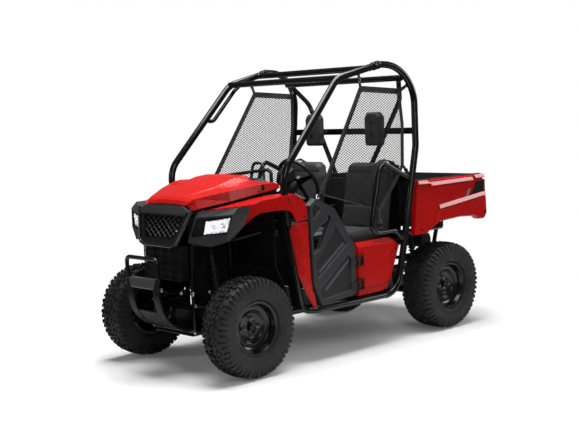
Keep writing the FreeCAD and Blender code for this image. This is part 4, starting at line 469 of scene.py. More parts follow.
def rim(name, side, y, width):
    """A pressed steel rim: rolled lip, well, deep bowl and raised ring round its four nuts."""
    half = width * 0.37
    face = half - 0.066
    centre = Vector((side * (HALF_WIDTH - width / 2), y, AXLE_Z))
    body = "wheel_" + name
    out = Vector((side, 0, 0))
    form, nuts, valve = Form(), Form(), Form()
    parts = ((half, RIM_LIP), (face, RIM_DISH), (-half, RIM_BACK))
    profile = [(side * (start + x), radius) for start, part in parts for x, radius in part]
    form.spun(profile, centre, 96)
    for index in range(4):
        angle = math.pi / 2 * index
        boss = on_wheel(centre, side * (face + 0.0055), NUT_CIRCLE, angle)
        form.turned(boss, out, ((0, 0.019), (0.004, 0.0165), (0.0055, 0.014)), 20)
        at = on_wheel(centre, side * (face + 0.011), NUT_CIRCLE, angle)
        nuts.bolt(at, out, 0.0095, 0.010)
        nuts.turned(at, out, ((0.009, 0.0072), (0.012, 0.0066), (0.0135, 0.0035)), 16)
    foot = on_wheel(centre, side * (face + 0.030), VALVE_CIRCLE, VALVE_ANGLE)
    inward = Vector((0, -math.sin(VALVE_ANGLE), -math.cos(VALVE_ANGLE)))
    stem = ((0, 0, 0.006), (0.006, 0.004, 0.005), (0.012, 0.022, 0.0038), (0.014, 0.032, 0.0045))
    valve.pipe([foot + inward * a + out * b for a, b, _ in stem], [radius for _, _, radius in stem], 12)
    form.piece("steel_rim_" + name, "black_rim", smooth=30, replaced="rim_" + name, body=body)
    nuts.piece("wheel_nuts_" + name, "bare_metal", "nut_metal", body=body)
    valve.piece("tyre_valve_" + name, "soft_grip", body=body)


for wheel in WHEELS:
    tyre(*wheel)
    rim(*wheel)


# Side nets

NET_CORNERS = ((0.115, 1.726), (0.492, 1.702), (0.500, 1.480), (0.470, 1.200), (0.410, 1.120), (0.225, 0.915),
               (-0.322, 1.066))
NET_WIDTHS = (0.040, 0.030, 0.030, 0.026, 0.030, 0.010, 0.036)
NET_MIDDLE = Vector((0.1, 1.4))
NET_FACING = (1, 0, 0.05)
NET_CELL = 0.0145
CORD_WIDTH, CORD_DEPTH, CORD_LAYER = 0.0020, 0.0011, 0.0009
# Where each corner strap goes: its place on the net, then its place on the cage
NET_TIES = (
    ((0.115, 1.726), (0.540, 0.088, 1.822)), ((0.490, 1.700), (0.585, 0.560, 1.760)),
    ((0.470, 1.200), (0.580, 0.510, 1.140)), ((0.225, 0.915), (0.578, 0.206, 0.785)),
    ((-0.318, 1.066), (0.566, -0.352, 1.050)),
)
SNAPS = (
    ((0.545, -0.346, 1.062), (0.572, -0.356, 1.042)), ((0.540, 0.100, 1.770), (0.540, 0.092, 1.796)),
    ((0.560, 0.522, 1.722), (0.572, 0.540, 1.742)),
)


def on_net(y, z):
    """A place on the leaning net; it bellies out a little in its middle."""
    belly = 0.005 * math.sin(math.pi * min(max((z - 0.92) / 0.80, 0), 1))
    return Vector((0.529 + (1.706 - max(z, 1.150)) * 38.0 / 646.0 + belly, y, z))


def clipped(origin, way, corners):
    """The stretch of a line that lies in a convex outline, as two distances along it."""
    low, high = -10.0, 10.0
    turn = 1 if sum(a[0] * b[1] - a[1] * b[0] for a, b in around(corners)) > 0 else -1
    for a, b in around(corners):
        normal = Vector((a[1] - b[1], b[0] - a[0])) * turn
        speed = normal.dot(way)
        distance = normal.dot(origin - Vector(a))
        if abs(speed) < 1e-9:
            if distance < 0:
                return None
        elif speed > 0:
            low = max(low, -distance / speed)
        else:
            high = min(high, -distance / speed)
    return (low, high) if high - low > NET_CELL else None


def net(side, hand):
    """Crossing cords in an outline of stitched webbing, with hooked straps at its corners."""
    cords, edging, snaps, hooks = Form(), Form(), Form(), Form()
    for angle, layer in ((30, CORD_LAYER), (-30, -CORD_LAYER)):
        way = Vector((math.cos(math.radians(angle)), math.sin(math.radians(angle))))
        across = Vector((-way.y, way.x))
        flat = Vector((0, across.x, across.y)) * CORD_WIDTH
        out = Vector((CORD_DEPTH, 0, 0))
        for index in range(-70, 71):
            origin = NET_MIDDLE + across * index * NET_CELL
            reach = clipped(origin, way, NET_CORNERS)
            if reach is None:
                continue
            steps = max(2, int((reach[1] - reach[0]) / 0.08))
            rings = []
            for k in range(steps + 1):
                at = origin + way * (reach[0] + (reach[1] - reach[0]) * k / steps)
                place = on_net(at.x, at.y)
                place.x += layer
                rings.append([place - flat, place + out, place + flat, place - out])
            cords.loft(rings)
    loop = [on_net(y, z) for y, z in NET_CORNERS]
    for (a, b), width in zip(around(loop), NET_WIDTHS):
        way = (b - a).normalized()
        edging.strap([a - way * 0.010, a.lerp(b, 0.5), b + way * 0.010], width, 0.0042, NET_FACING)
    for place, target in NET_TIES:
        start, end = on_net(*place), Vector(target)
        edging.strap([start, start.lerp(end, 0.5), end], 0.024, 0.003, NET_FACING)
        hooks.brick(end - (end - start).normalized() * 0.03, (0.005, 0.016, 0.010), 0.002)
    for start, end in SNAPS:
        a, b = sided(side, start), sided(side, end)
        ring = circle((a + b) / 2, (b - a) * 0.5, Vector((0, 0.008, 0.006)), 1, 12)
        snaps.pipe(ring, 0.0019, 8, closed=True)
    if side < 0:
        for form in (cords, edging, hooks):
            form.points = mirrored(form.points)
    cords.piece("net_cords_" + hand, "webbing", "black_plastic", smooth=60,
                replaced="side_nets" if side > 0 else None)
    edging.piece("net_webbing_" + hand, "webbing", smooth=30)
    snaps.piece("net_snaps_" + hand, "bare_metal", smooth=60)
    hooks.piece("net_buckles_" + hand, "black_plastic")


for side, hand in HANDS:
    net(side, hand)


# Seats

SEAT_MIDDLE, SEAT_SEAMS = 0.298, (0.150, 0.486)
SEAM_WIDTH, SEAM_DEPTH = 0.014, 0.006
REST_MIDDLE, REST_BACK = 0.308, 0.524
REST_NARROWING, REST_DEEPENING = 0.76, 1.18
SWELL_FRAMES = 20


def apply_modifiers(made):
    """Keep what the modifiers make as the piece's own mesh."""
    graph = bpy.context.evaluated_depsgraph_get()
    mesh = bpy.data.meshes.new_from_object(made.evaluated_get(graph))
    made.modifiers.clear()
    made.data = mesh


def swell(made, pressure, cap):
    """Inflate a closed skin as cloth and keep each point within a distance of its start."""
    start = [v.co.copy() for v in made.data.vertices]
    settings = made.modifiers.new("swell", "CLOTH").settings
    settings.use_pressure = True
    settings.uniform_pressure_force = pressure
    settings.effector_weights.gravity = 0
    settings.quality = 4
    settings.tension_stiffness = 12
    settings.bending_stiffness = 1.0
    for step in range(1, SWELL_FRAMES + 1):
        bpy.context.scene.frame_set(step)
    apply_modifiers(made)
    bpy.context.scene.frame_set(1)
    for vertex, place in zip(made.data.vertices, start):
        moved = vertex.co - place
        if moved.length > cap:
            vertex.co = place + moved.normalized() * cap


def soft_copy(node, inward, voxel, pressure, cap):
    """A padded piece from a CAD solid: shrunk, evenly meshed, then swollen as cloth by any pressure."""
    mesh = nodes[node].data.copy()
    made = placed("padded_" + node, mesh)
    dress(made, "seat_vinyl")
    for vertex in mesh.vertices:
        vertex.co -= vertex.normal * inward
    remesh = made.modifiers.new("even", "REMESH")
    remesh.mode = "VOXEL"
    remesh.voxel_size = voxel
    apply_modifiers(made)
    if pressure:
        swell(made, pressure, cap)
    smooth = made.modifiers.new("soften", "SMOOTH")
    smooth.factor = 0.5
    smooth.iterations = 6
    apply_modifiers(made)
    for polygon in made.data.polygons:
        polygon.use_smooth = True
    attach(made, "root")
    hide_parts(node)
    return made


def channel(made, lines, depth, width):
    """Press sewn channels into a pad along lines of its front face, given in X and Z."""
    for vertex in made.data.vertices:
        if vertex.normal.y > -0.25:
            continue
        at = Vector((vertex.co.x, vertex.co.z))
        for start, end in lines:
            start, along = Vector(start), Vector(end) - Vector(start)
            share = max(0, min(1, (at - start).dot(along) / along.length_squared))
            gap = (at - start - along * share).length
            if gap < width:
                vertex.co.y += depth * (1 - gap / width) ** 2


backs = soft_copy("seat_backs", inward=0.010, voxel=0.009, pressure=3.0, cap=0.012)
inner, outer = SEAT_SEAMS
SEAMS = [((side * a, low), (side * b, high)) for side in (1, -1) for a, b, low, high in (
    (inner, inner, 0.80, 1.15), (outer, outer, 0.80, 1.15),
    (inner, outer, 1.15, 1.15), (inner, outer, 0.93, 0.93))]
channel(backs, SEAMS, 0.007, 0.016)
cushions = soft_copy("seat_cushions", inward=0.008, voxel=0.009, pressure=3.0, cap=0.012)
for vertex in cushions.data.vertices:
    if vertex.normal.z > 0.3:
        for seam in SEAT_SEAMS:
            gap = abs(abs(vertex.co.x) - seam)
            if gap < SEAM_WIDTH:
                vertex.co.z -= SEAM_DEPTH * (1 - gap / SEAM_WIDTH) ** 2
rests = soft_copy("headrests", inward=0.002, voxel=0.006, pressure=0.0, cap=0.004)
for vertex in rests.data.vertices:
    side = 1 if vertex.co.x > 0 else -1
    vertex.co.x = side * (SEAT_MIDDLE + (side * vertex.co.x - REST_MIDDLE) * REST_NARROWING)
    vertex.co.y = REST_BACK - (REST_BACK - vertex.co.y) * REST_DEEPENING


# Seat belts: webbing from each reel over the seat's shoulder to its buckle

BELT_PATH = (
    (0.438, 0.520, 1.196), (0.438, 0.498, 1.218), (0.436, 0.450, 1.233), (0.432, 0.400, 1.230),
    (0.426, 0.362, 1.208), (0.420, 0.334, 1.150), (0.408, 0.302, 1.050), (0.418, 0.272, 0.930),
    (0.478, 0.262, 0.840), (0.532, 0.262, 0.760),
)
STALK_PATH = ((0.118, 0.262, 0.775), (0.118, 0.252, 0.835), (0.118, 0.232, 0.885))


def belts():
    webbing, metal, cases = Form(), Form(), Form()
    for side in (1, -1):
        webbing.strap([sided(side, p) for p in BELT_PATH], 0.047, 0.0026, (0, -1, 0.3))
        webbing.strap([sided(side, p) for p in STALK_PATH], 0.036, 0.004, (1, 0, 0))
        cases.brick(sided(side, (0.438, 0.540, 1.166)), (0.027, 0.016, 0.030), 0.006)
        cases.brick(sided(side, (0.118, 0.226, 0.903)), (0.011, 0.021, 0.030), 0.004)
        metal.block((0.518, 0.256, 0.800), (0.546, 0.260, 0.842), 0.001, side)
    webbing.piece("belt_webbing", "webbing", smooth=30, replaced="seat_belts")
    metal.piece("belt_tongues", "bare_metal")
    cases.piece("belt_cases", "black_plastic")


belts()


# Tubes of the cage, sills and bumper, with the smooth bends of real pipe

def rounded(points, radius):
    """A path whose corners are arcs."""
    points = [Vector(p) for p in points]
    path = [points[0]]
    for before, corner, after in zip(points, points[1:], points[2:]):
        a, b = before - corner, after - corner
        turn = math.pi - a.angle(b)
        if turn < 0.03:
            path.append(corner)
            continue
        reach_a = a.length * (0.96 if before is points[0] else 0.49)
        reach_b = b.length * (0.96 if after is points[-1] else 0.49)
        cut = min(radius * math.tan(turn / 2), reach_a, reach_b)
        a, b = a.normalized(), b.normalized()
        start, end = corner + a * cut, corner + b * cut
        middle = corner + (a + b).normalized() * cut / math.sin(turn / 2)
        steps = max(3, int(turn / 0.09))
        for k in range(steps + 1):
            share = turn * k / steps
            swing = (start - middle) * math.sin(turn - share) + (end - middle) * math.sin(share)
            path.append(middle + swing / math.sin(turn))
    path.append(points[-1])
    return path


def both_sides(form, path, radius, sides):
    """A tube on each side of the vehicle."""
    form.pipe(path, radius, sides)
    form.pipe(mirrored(path), radius, sides)


def crossbar(form, x, y, z):
    """A tube across the vehicle, from its end on the left."""
    form.pipe([(-x, y, z), (x, y, z)], CROSS, 20)


JOINT = Vector((0.556, 0.273, 1.884))
BROW = Vector((0.536, -0.112, 1.798))
FOOT = Vector((0.572, -0.662, 1.212))
CAGE_FOOT, SILL_END = (0.545, -0.604, 0.902), (0.596, 0.222, 0.338)
CAGE, GUARD, CROSS, FRAME_TUBE = 0.023, 0.016, 0.021, 0.020

# The paths of bent tubes, those of the cage and sills on the left side
HOOP = (SILL_END, (0.604, 0.330, 0.348), (0.606, 0.422, 0.700), (0.608, 0.562, 1.326), (0.582, 0.592, 1.872),
        JOINT)
HIP_GUARD = ((0.594, 0.513, 1.100), (0.592, 0.247, 1.230), (0.592, 0.200, 1.170), (0.592, 0.102, 0.800),
             (0.592, 0.170, 0.764), (0.592, 0.340, 0.764), (0.596, 0.420, 0.690))
BRACE = ((0.540, 0.482, 1.792), (0.452, 0.592, 1.640), (0.150, 0.550, 1.110))
SILL = (CAGE_FOOT, (0.545, -0.510, 0.338), (0.596, -0.430, 0.338), SILL_END)
BOW = ((-0.155, -1.325, 0.600), (-0.155, -1.337, 0.680), (-0.155, -1.337, 0.742), (0.155, -1.337, 0.742),
       (0.155, -1.337, 0.680), (0.155, -1.325, 0.600))
# The bumper's plate as (y, half width at its top and bottom, low, high)
BUMPER_PLATE = ((-1.308, 0.135, 0.113, 0.554, 0.616), (-1.344, 0.135, 0.113, 0.554, 0.616),
                (-1.350, 0.128, 0.106, 0.561, 0.609))
# The sleeve between roof rail and hoop as (distance from the joint, radius)
SLEEVE = ((-0.064, 0.025), (-0.062, 0.027), (-0.058, 0.027), (-0.058, 0.0286), (-0.044, 0.0286),
          (-0.044, 0.027), (-0.024, 0.027), (-0.024, 0.0286), (-0.010, 0.0286), (-0.010, 0.027),
          (-0.006, 0.027), (-0.004, 0.025))


def clamps():
    """The bolted sleeve between roof rail and hoop, with split flanges and their screws."""
    form = Form()
    way = (JOINT - BROW).normalized()
    for side in (1, -1):
        places = [sided(side, JOINT + way * (s + 0.00004 * i)) for i, (s, _) in enumerate(SLEEVE)]
        form.pipe(places, [radius for _, radius in SLEEVE], 28)
        for s in (-0.051, -0.017):
            screw = JOINT + way * s + Vector((0.029, 0, 0.006))
            form.bolt(sided(side, screw), (side, 0, 0.2), 0.0065, 0.005)
    form.piece("cage_clamps", "black_frame", smooth=40)


def rear_cage():
    form = Form()
    both_sides(form, rounded(HOOP, 0.26), CAGE, 24)
    both_sides(form, rounded(HIP_GUARD, 0.055), GUARD, 20)
    both_sides(form, rounded(BRACE, 0.12), GUARD + 0.001, 18)
    crossbar(form, 0.570, 0.480, 1.792)
    crossbar(form, 0.604, 0.526, 1.110)
    form.block((-0.600, 0.568, 1.408), (0.600, 0.575, 1.452), 0.0015)
    for middle in (-0.358, -0.258, 0.258, 0.358):
        form.block((middle - 0.012, 0.524, 1.426), (middle + 0.012, 0.570, 1.434), 0.001)
        form.bolt((middle, 0.5675, 1.436), (0, -1, 0), 0.006, 0.005)
    form.piece("rear_roll_cage", "black_frame", smooth=45, replaced="rear_cage")


def front_cage():
    """Pillars, roof rails and cross tubes, with the grab handle on the right pillar."""
    form = Form()
    both_sides(form, rounded((CAGE_FOOT, FOOT, BROW, JOINT - Vector((0, 0.002, 0))), 0.19), CAGE, 24)
    slope = (BROW - FOOT).normalized()
    away = Vector((0, slope.z, -slope.y)).normalized() * 0.058
    low = FOOT + (BROW - FOOT) * 0.60
    handle = rounded((low, low + away + slope * 0.010, BROW + away - slope * 0.006,
                      BROW + Vector((0.001, 0.150, 0.038))), 0.055)
    form.pipe(mirrored(handle), GUARD - 0.002, 18)
    crossbar(form, *BROW)
    crossbar(form, 0.556, 0.183, 1.860)
    form.piece("front_roll_cage", "black_frame", smooth=45, replaced="front_cage")


def sills():
    form = Form()
    both_sides(form, rounded(SILL, 0.085), FRAME_TUBE, 24)
    for y in (-0.410, -0.020, 0.202):
        both_sides(form, rounded([(0.196, y, 0.262), (0.286, y, 0.338), (0.596, y, 0.338)], 0.060), 0.014, 14)
    form.piece("sill_tubes", "black_frame", smooth=45, replaced="sill_frame")


def bumper():
    """A bow of bent pipe over a folded plate, on two flat arms that curve down under the nose."""
    bow, plate, arms = Form(), Form(), Form()
    bow.pipe(rounded(BOW, 0.050), 0.013, 22)
    bow.piece("bumper_bow", "black_frame", smooth=45, replaced="front_bumper")
    plate.loft([
        [(-top, y, high), (top, y, high), (bottom, y, low), (-bottom, y, low)]
        for y, top, bottom, low, high in BUMPER_PLATE])
    plate.piece("bumper_plate", "grey_plate", "plate_satin", smooth=25)
    curve = rounded([(0, -1.331, 0.612), (0, -1.335, 0.500), (0, -1.308, 0.405), (0, -1.240, 0.322),
                     (0, -1.122, 0.268)], 0.16)
    front = (0, -1, 0.35)
    for x in (-0.135, 0.135):
        arms.strap([p + Vector((x, 0, 0)) for p in curve], 0.062, 0.012, front)
        for share in (0.10, 0.72):
            at = curve[int(share * (len(curve) - 1))]
            arms.bolt(at + Vector((x, -0.008, 0)), (0, -1, 0.3 - share), 0.0075, 0.006)
    arms.strap([p for p in curve if p.z < 0.415], 0.21, 0.005, front)
    arms.piece("bumper_arms", "black_frame", "black_plastic", smooth=30)


clamps()
rear_cage()
front_cage()
sills()
bumper()


# Springs: a coil round each damper, its seats and the rubber eyes at its ends

SHOCKS = (
    ((0.336, -0.984, 0.288), (0.236, -0.984, 0.768)), ((0.328, 0.870, 0.288), (0.266, 0.870, 0.660)),
)
COIL_TURNS, COIL_STEPS, COIL_RADIUS, WIRE_RADIUS = 8, 24, 0.0235, 0.0045
# Where the coil starts and how long it is, as shares of the damper's length
COIL_FOOT, COIL_LENGTH = 0.13, 0.60
# The damper's body as (share of its length, radius)
DAMPER = ((0.0, 0.009), (0.06, 0.009), (0.065, 0.014), (0.10, 0.014), (0.102, 0.028), (0.125, 0.028),
          (0.127, 0.012), (0.45, 0.012), (0.452, 0.017), (0.735, 0.017), (0.737, 0.028), (0.755, 0.028),
          (0.757, 0.020), (0.93, 0.020), (0.935, 0.009), (1.0, 0.009))


def springs():
    coils, dampers = Form(), Form()
    eye = Vector((0, 0.016, 0))
    for low, high in SHOCKS:
        for side in (1, -1):
            a, b = sided(side, low), sided(side, high)
            unit = (b - a).normalized()
            across = unit.orthogonal().normalized()
            other = unit.cross(across)
            path = []
            for k in range(COIL_TURNS * COIL_STEPS + 1):
                angle = 2 * math.pi * k / COIL_STEPS
                out = across * math.cos(angle) + other * math.sin(angle)
                share = COIL_FOOT + COIL_LENGTH * k / (COIL_TURNS * COIL_STEPS)
                path.append(a + (b - a) * share + out * COIL_RADIUS)
            coils.pipe(path, WIRE_RADIUS, 8)
            dampers.turned(a, b - a, DAMPER, 20)
            for end in (a, b):
                dampers.pipe([end - eye, end + eye], 0.0135, 18)
    coils.piece("spring_coils", "bare_metal", "cast_metal", smooth=60, replaced="shock_absorbers")
    dampers.piece("damper_bodies", "bare_metal", "cast_metal", smooth=40)


springs()


# Nose: the grille's lattice and wire, lamps, the seal under the hood and the body's fasteners

NOSE_SLOPE = 0.322
NOSE_ANGLE = math.atan(NOSE_SLOPE)
NOSE_OUT = Vector((0, -math.cos(NOSE_ANGLE), math.sin(NOSE_ANGLE)))
# The lattice in millimetres: its pitch across, the step between rows, its top and its foot
LATTICE_PITCH, LATTICE_STEP, LATTICE_TOP, LATTICE_LOW = 51.0, 51.0 * 0.34, 986.0, 845.0
PANEL = ((-191, 1046), (191, 1046), (253, 1016), (225, 990), (-225, 990), (-253, 1016))
PANEL_CROWN = ((-184, 1038), (184, 1038), (241, 1013), (219, 998), (-219, 998), (-241, 1013))
WIRE = ((271, 1032), (207, 866), (187, 822), (139, 806), (-139, 806), (-187, 822), (-207, 866), (-271, 1032))
BACKING = ((-215, 1030), (215, 1030), (150, 815), (-150, 815))
# The seal under the hood as (y, half width, low, high) in metres
HOOD_SEAL = ((-1.128, 0.196, 1.006, 1.052), (-1.098, 0.226, 0.990, 1.066), (-1.040, 0.250, 0.990, 1.080))


def on_nose(x, height, out):
    """A place on the leaning grille, in millimetres as it is drawn."""
    return Vector((x, -1140 + (height - 1020) * NOSE_SLOPE, height)) * 0.001 + NOSE_OUT * out * 0.001


def nose_ring(outline, out, narrow=1):
    return [on_nose(x * narrow, height, out) for x, height in outline]


def diamond(x, height, half_x, half_z, out):
    corners = ((x - half_x, height), (x, height - half_z), (x + half_x, height), (x, height + half_z))
    return nose_ring(corners, out)


def lattice():
    """Crossing bars with a pointed stud on each crossing."""
    form = Form()
    for row in range(int((LATTICE_TOP - LATTICE_LOW) / LATTICE_STEP) + 2):
        height = LATTICE_TOP - row * LATTICE_STEP
        half = 148 + 56 * (height - LATTICE_LOW) / (LATTICE_TOP - LATTICE_LOW)
        for column in range(-6, 7):
            x = (column + 0.5 * ((row + 1) % 2)) * LATTICE_PITCH
            if abs(x) > half - 8 or not LATTICE_LOW + 6 < height < LATTICE_TOP - 6:
                continue
            form.loft([diamond(x, height, 11, 7.5, -6), diamond(x, height, 4, 2.5, -0.5)])
            for way in (1, -1):
                end_x, end_z = x + way * LATTICE_PITCH / 2, height + LATTICE_STEP
                if abs(end_x) > half + 2 or end_z > LATTICE_TOP + 2:
                    continue
                form.pipe([on_nose(x, height, -4.5), on_nose((x + end_x) / 2, (height + end_z) / 2, -2.2),
                           on_nose(end_x, end_z, -4.5)], 0.0030, 6)
    form.piece("grille_lattice", "black_rim", "gloss_black", smooth=20)


def grille_details():
    panel, wire, back, seal = Form(), Form(), Form(), Form()
    panel.loft([nose_ring(PANEL, 4), nose_ring(PANEL, 13), nose_ring(PANEL_CROWN, 15.5)])
    panel.piece("grille_top_panel", "charcoal_plastic", smooth=15)
    wire.pipe(rounded(nose_ring(WIRE, 1), 0.030), 0.0105, 20)
    wire.piece("grille_wire", "black_rim", "gloss_black", smooth=45)
    back.loft([nose_ring(BACKING, -30), nose_ring(BACKING, -24, 0.98)])
    back.piece("grille_backing", "black_plastic", smooth=20)
    seal.loft([[(-half, y, low), (-half, y, high), (half, y, high), (half, y, low)]
               for y, half, low, high in HOOD_SEAL])
    seal.piece("hood_seal", "black_plastic", smooth=20)


LAMP_OUT = Vector((0.39, -0.92, 0)).normalized()
LENS_FACE = ((0.328, -1.112, 0.876), (0.484, -1.050, 0.893), (0.510, -1.036, 0.986), (0.346, -1.104, 0.962))
LENS_COLUMNS, LENS_ROWS = 18, 10


def on_lamp(side, u, v, depth):
    """A place on a lamp's face by its shares across and up, and its depth behind the face."""
    a, b, c, d = (Vector(p) for p in LENS_FACE)
    return sided(side, a.lerp(b, u).lerp(d.lerp(c, u), v) + LAMP_OUT * depth)


def bowl(form, side, rim_depth, deep, flute):
    """A grid over a lamp's face that sinks to a depth in its middle, with upright flutes."""
    base = len(form.points)
    row = LENS_COLUMNS + 1
    for j in range(LENS_ROWS + 1):
        for i in range(row):
            u, v = 0.012 + 0.976 * i / LENS_COLUMNS, 0.015 + 0.97 * j / LENS_ROWS
            sunk = (1 - (2 * u - 1) ** 4) * (1 - (2 * v - 1) ** 4)
            ripple = flute * (1 if i % 2 else -1)
            form.points.append(on_lamp(side, u, v, rim_depth + (ripple - deep) * sunk))
    for j in range(LENS_ROWS):
        for k in range(base + j * row, base + j * row + LENS_COLUMNS):
            form.faces.append((k, k + 1, k + row + 1, k + row))


def lamps():
    bowls, bulbs, glass, frames = Form(), Form(), Form(), Form()
    for side in (1, -1):
        bowl(bowls, side, -0.0125, 0.0145, 0.0016)
        bowl(glass, side, -0.0095, -0.0025, 0)
        for u, size in ((0.30, 0.013), (0.68, 0.016)):
            profile = ((0, size), (0.006, size * 0.8), (0.011, size * 0.45))
            bulbs.turned(on_lamp(side, u, 0.48, -0.024), sided(side, LAMP_OUT), profile, 20)
        for a, b in around([on_lamp(side, u, v, -0.0085) for u, v in ((0, 0), (1, 0), (1, 1), (0, 1))]):
            frames.pipe([a, b], 0.0028, 8)
    bowls.piece("lamp_reflectors", "lens", "mirror_metal", smooth=10)
    bulbs.piece("lamp_bulb_caps", "bare_metal", "mirror_metal", smooth=30)
    made = glass.piece("lamp_glass", "lens", smooth=80, replaced="headlamp_lenses")
    thick = made.modifiers.new("thick", "SOLIDIFY")
    thick.thickness = 0.0015
    apply_modifiers(made)
    frames.piece("lamp_lips", "black_plastic", smooth=40)


# Place and direction of each push rivet, and of each bolt with its size
RIVETS = (
    ((0.450, -0.742, 1.118), (0.6, 0, 1)), ((0.6005, -0.640, 1.060), (1, 0, 0.1)),
    ((0.5995, -0.560, 1.062), (1, 0, 0.2)), ((0.5985, -0.512, 0.944), (1, 0, 0)),
    ((0.5985, -0.500, 0.884), (1, 0, 0)), ((0.5965, -0.460, 0.470), (1, 0, 0)),
    ((0.300, -1.078, 1.020), (0, -0.3, 1)),
)
FRAME_BOLTS = (
    ((0.212, -1.122, 0.508), (0.3, -1, 0), 0.011), ((0.102, -1.122, 0.500), (0, -1, 0), 0.009),
    ((0.218, -0.985, 0.500), (1, 0, 0), 0.010), ((0.218, -1.100, 0.428), (1, 0, 0), 0.009),
    ((0.120, -1.318, 0.575), (0, -1, 0), 0.006), ((0.214, -1.110, 0.262), (1, -0.4, 0), 0.009),
)
RIVET_HEAD = ((-0.002, 0.0085), (0.0015, 0.0085), (0.003, 0.0055))
KNOB = ((-0.02, 0.017), (0, 0.017), (0.002, 0.013), (0.014, 0.013), (0.018, 0.009))


def fasteners():
    """Black push rivets of the red panels, bright bolts of the running gear, knobs of the hood."""
    rivets, bolts, knobs = Form(), Form(), Form()
    for side in (1, -1):
        for place, way in RIVETS:
            rivets.turned(sided(side, place), sided(side, way).normalized(), RIVET_HEAD, 16)
        for place, way, size in FRAME_BOLTS:
            bolts.bolt(sided(side, place), sided(side, way), size, 0.008)
        knobs.turned(sided(side, (0.440, -0.709, 1.140)), Vector((0, 0, 1)), KNOB, 20)
    rivets.piece("push_rivets", "black_plastic", smooth=30)
    bolts.piece("frame_bolts", "bare_metal")
    knobs.piece("hood_knobs", "black_plastic", smooth=35)


lattice()
grille_details()
lamps()
fasteners()


# Body details: door pockets with painted shade, door edges with painted highlight, hinges, side panel creases
# with painted shade, bed ledges with a painted highlight, liner and marking

DOOR_X, PANEL_X, LEAF_X, BED_X, BED_BASE = 0.604, 0.5925, 0.6135, 0.614, 0.602
HINGE_HEIGHTS = (0.446, 0.604)
POCKETS = (
    ((-0.425, 1.024), (-0.360, 0.984), (-0.440, 0.906), (-0.452, 0.990)),
    ((-0.238, 0.880), (-0.132, 0.731), (-0.420, 0.530), (-0.434, 0.640), (-0.290, 0.800)),
    ((-0.127, 0.671), (-0.104, 0.638), (-0.113, 0.424), (-0.386, 0.394), (-0.409, 0.462)),
)
DOOR_RIBS = (((-0.170, 0.735), (-0.400, 0.575)), ((-0.128, 0.620), (-0.350, 0.455)))
WINDOW = ((-0.300, 0.952), (-0.279, 0.914), (-0.387, 0.724), (-0.436, 0.693), (-0.446, 0.705),
          (-0.452, 0.811), (-0.413, 0.848), (-0.313, 0.908))
# A rib's section: its distance behind the door's face, and half its width there
RIB = ((0.009, 0.012), (0.004, 0.005), (0.004, -0.005), (0.009, -0.012))
PANEL_CREASE = ((0.354, 0.656), (0.292, 0.615), (0.262, 0.427), (0.194, 0.413), (0.059, 0.415),
                (0.024, 0.372))


def on_side(side, x, outline):
    """Corners given as (y, z), on a plane parallel to the vehicle's side."""
    return [Vector((side * x, y, z)) for y, z in outline]


def sheet_on_side(form, outline, x, thick, side):
    """A thin plate parallel to the vehicle's side."""
    form.loft([on_side(side, x, outline), on_side(side, x + thick, outline)])


def outlined(form, outline, x, radius, side):
    """A thin rounded edge along an outline on the vehicle's side."""
    ring = on_side(side, x, outline)
    form.pipe(rounded(ring + ring[:1], 0.010), radius, 8)


def shrunk(outline, amount):
    """Corners moved towards the middle of a convex outline by about an amount."""
    middle = sum((Vector(c) for c in outline), Vector((0, 0))) / len(outline)
    ways = [middle - Vector(corner) for corner in outline]
    return [Vector(corner) + way.normalized() * min(amount * 1.3, way.length / 2)
            for corner, way in zip(outline, ways)]


def door_details(side, hand):
    body = body_of["door_" + hand]
    shade_floors, edges, bar, plugs = Form(), Form(), Form(), Form()
    # Each pocket gets a dark sheet on its floor as painted shade, and a lighter pipe round its rim as painted
    # highlight
    for outline in POCKETS:
        sheet_on_side(shade_floors, shrunk(outline, 0.010), DOOR_X - 0.0093, 0.0012, side)
        outlined(edges, outline, DOOR_X - 0.0012, 0.0019, side)
    # The ribs and the window's edge take the same lighter charcoal, as painted highlight
    for ends in DOOR_RIBS:
        start, end = (Vector(p) for p in ends)
        along = (end - start).normalized()
        over = Vector((-along.y, along.x))
        edges.loft([[(side * (DOOR_X - behind), *(point + over * half)) for behind, half in RIB]
                    for point in (start, end)])
    outlined(edges, WINDOW, DOOR_X - 0.001, 0.0022, side)
    bar.block((0.575, -0.452, 0.812), (0.591, -0.354, 0.833), 0.002, side)
    out = Vector((side, 0, 0))
    for at in on_side(side, DOOR_X - 0.0085, ((-0.428, 0.968), (-0.420, 0.945))):
        plugs.pipe([at, at + out * 0.003], 0.007, 14)
    barrel = ((-0.021, 0.0110), (-0.019, 0.0132), (0.019, 0.0132), (0.021, 0.0110))
    for height in HINGE_HEIGHTS:
        plugs.turned(Vector((side * 0.606, -0.056, height)), Vector((0, 0, 1)), barrel, 20)
        for up in (-0.012, 0.012):
            plugs.bolt((side * 0.6085, -0.094, height + up), out, 0.0048, 0.004)
    shade_floors.piece("door_pocket_shade_" + hand, "charcoal_plastic", "charcoal_painted_shade", smooth=20, body=body)
    edges.piece("door_edge_highlights_" + hand, "charcoal_plastic", "charcoal_painted_highlight", body=body)
    bar.piece("door_window_bar_" + hand, "charcoal_plastic", "grey_paint", smooth=25, body=body)
    plugs.piece("door_hinge_parts_" + hand, "black_plastic", body=body)


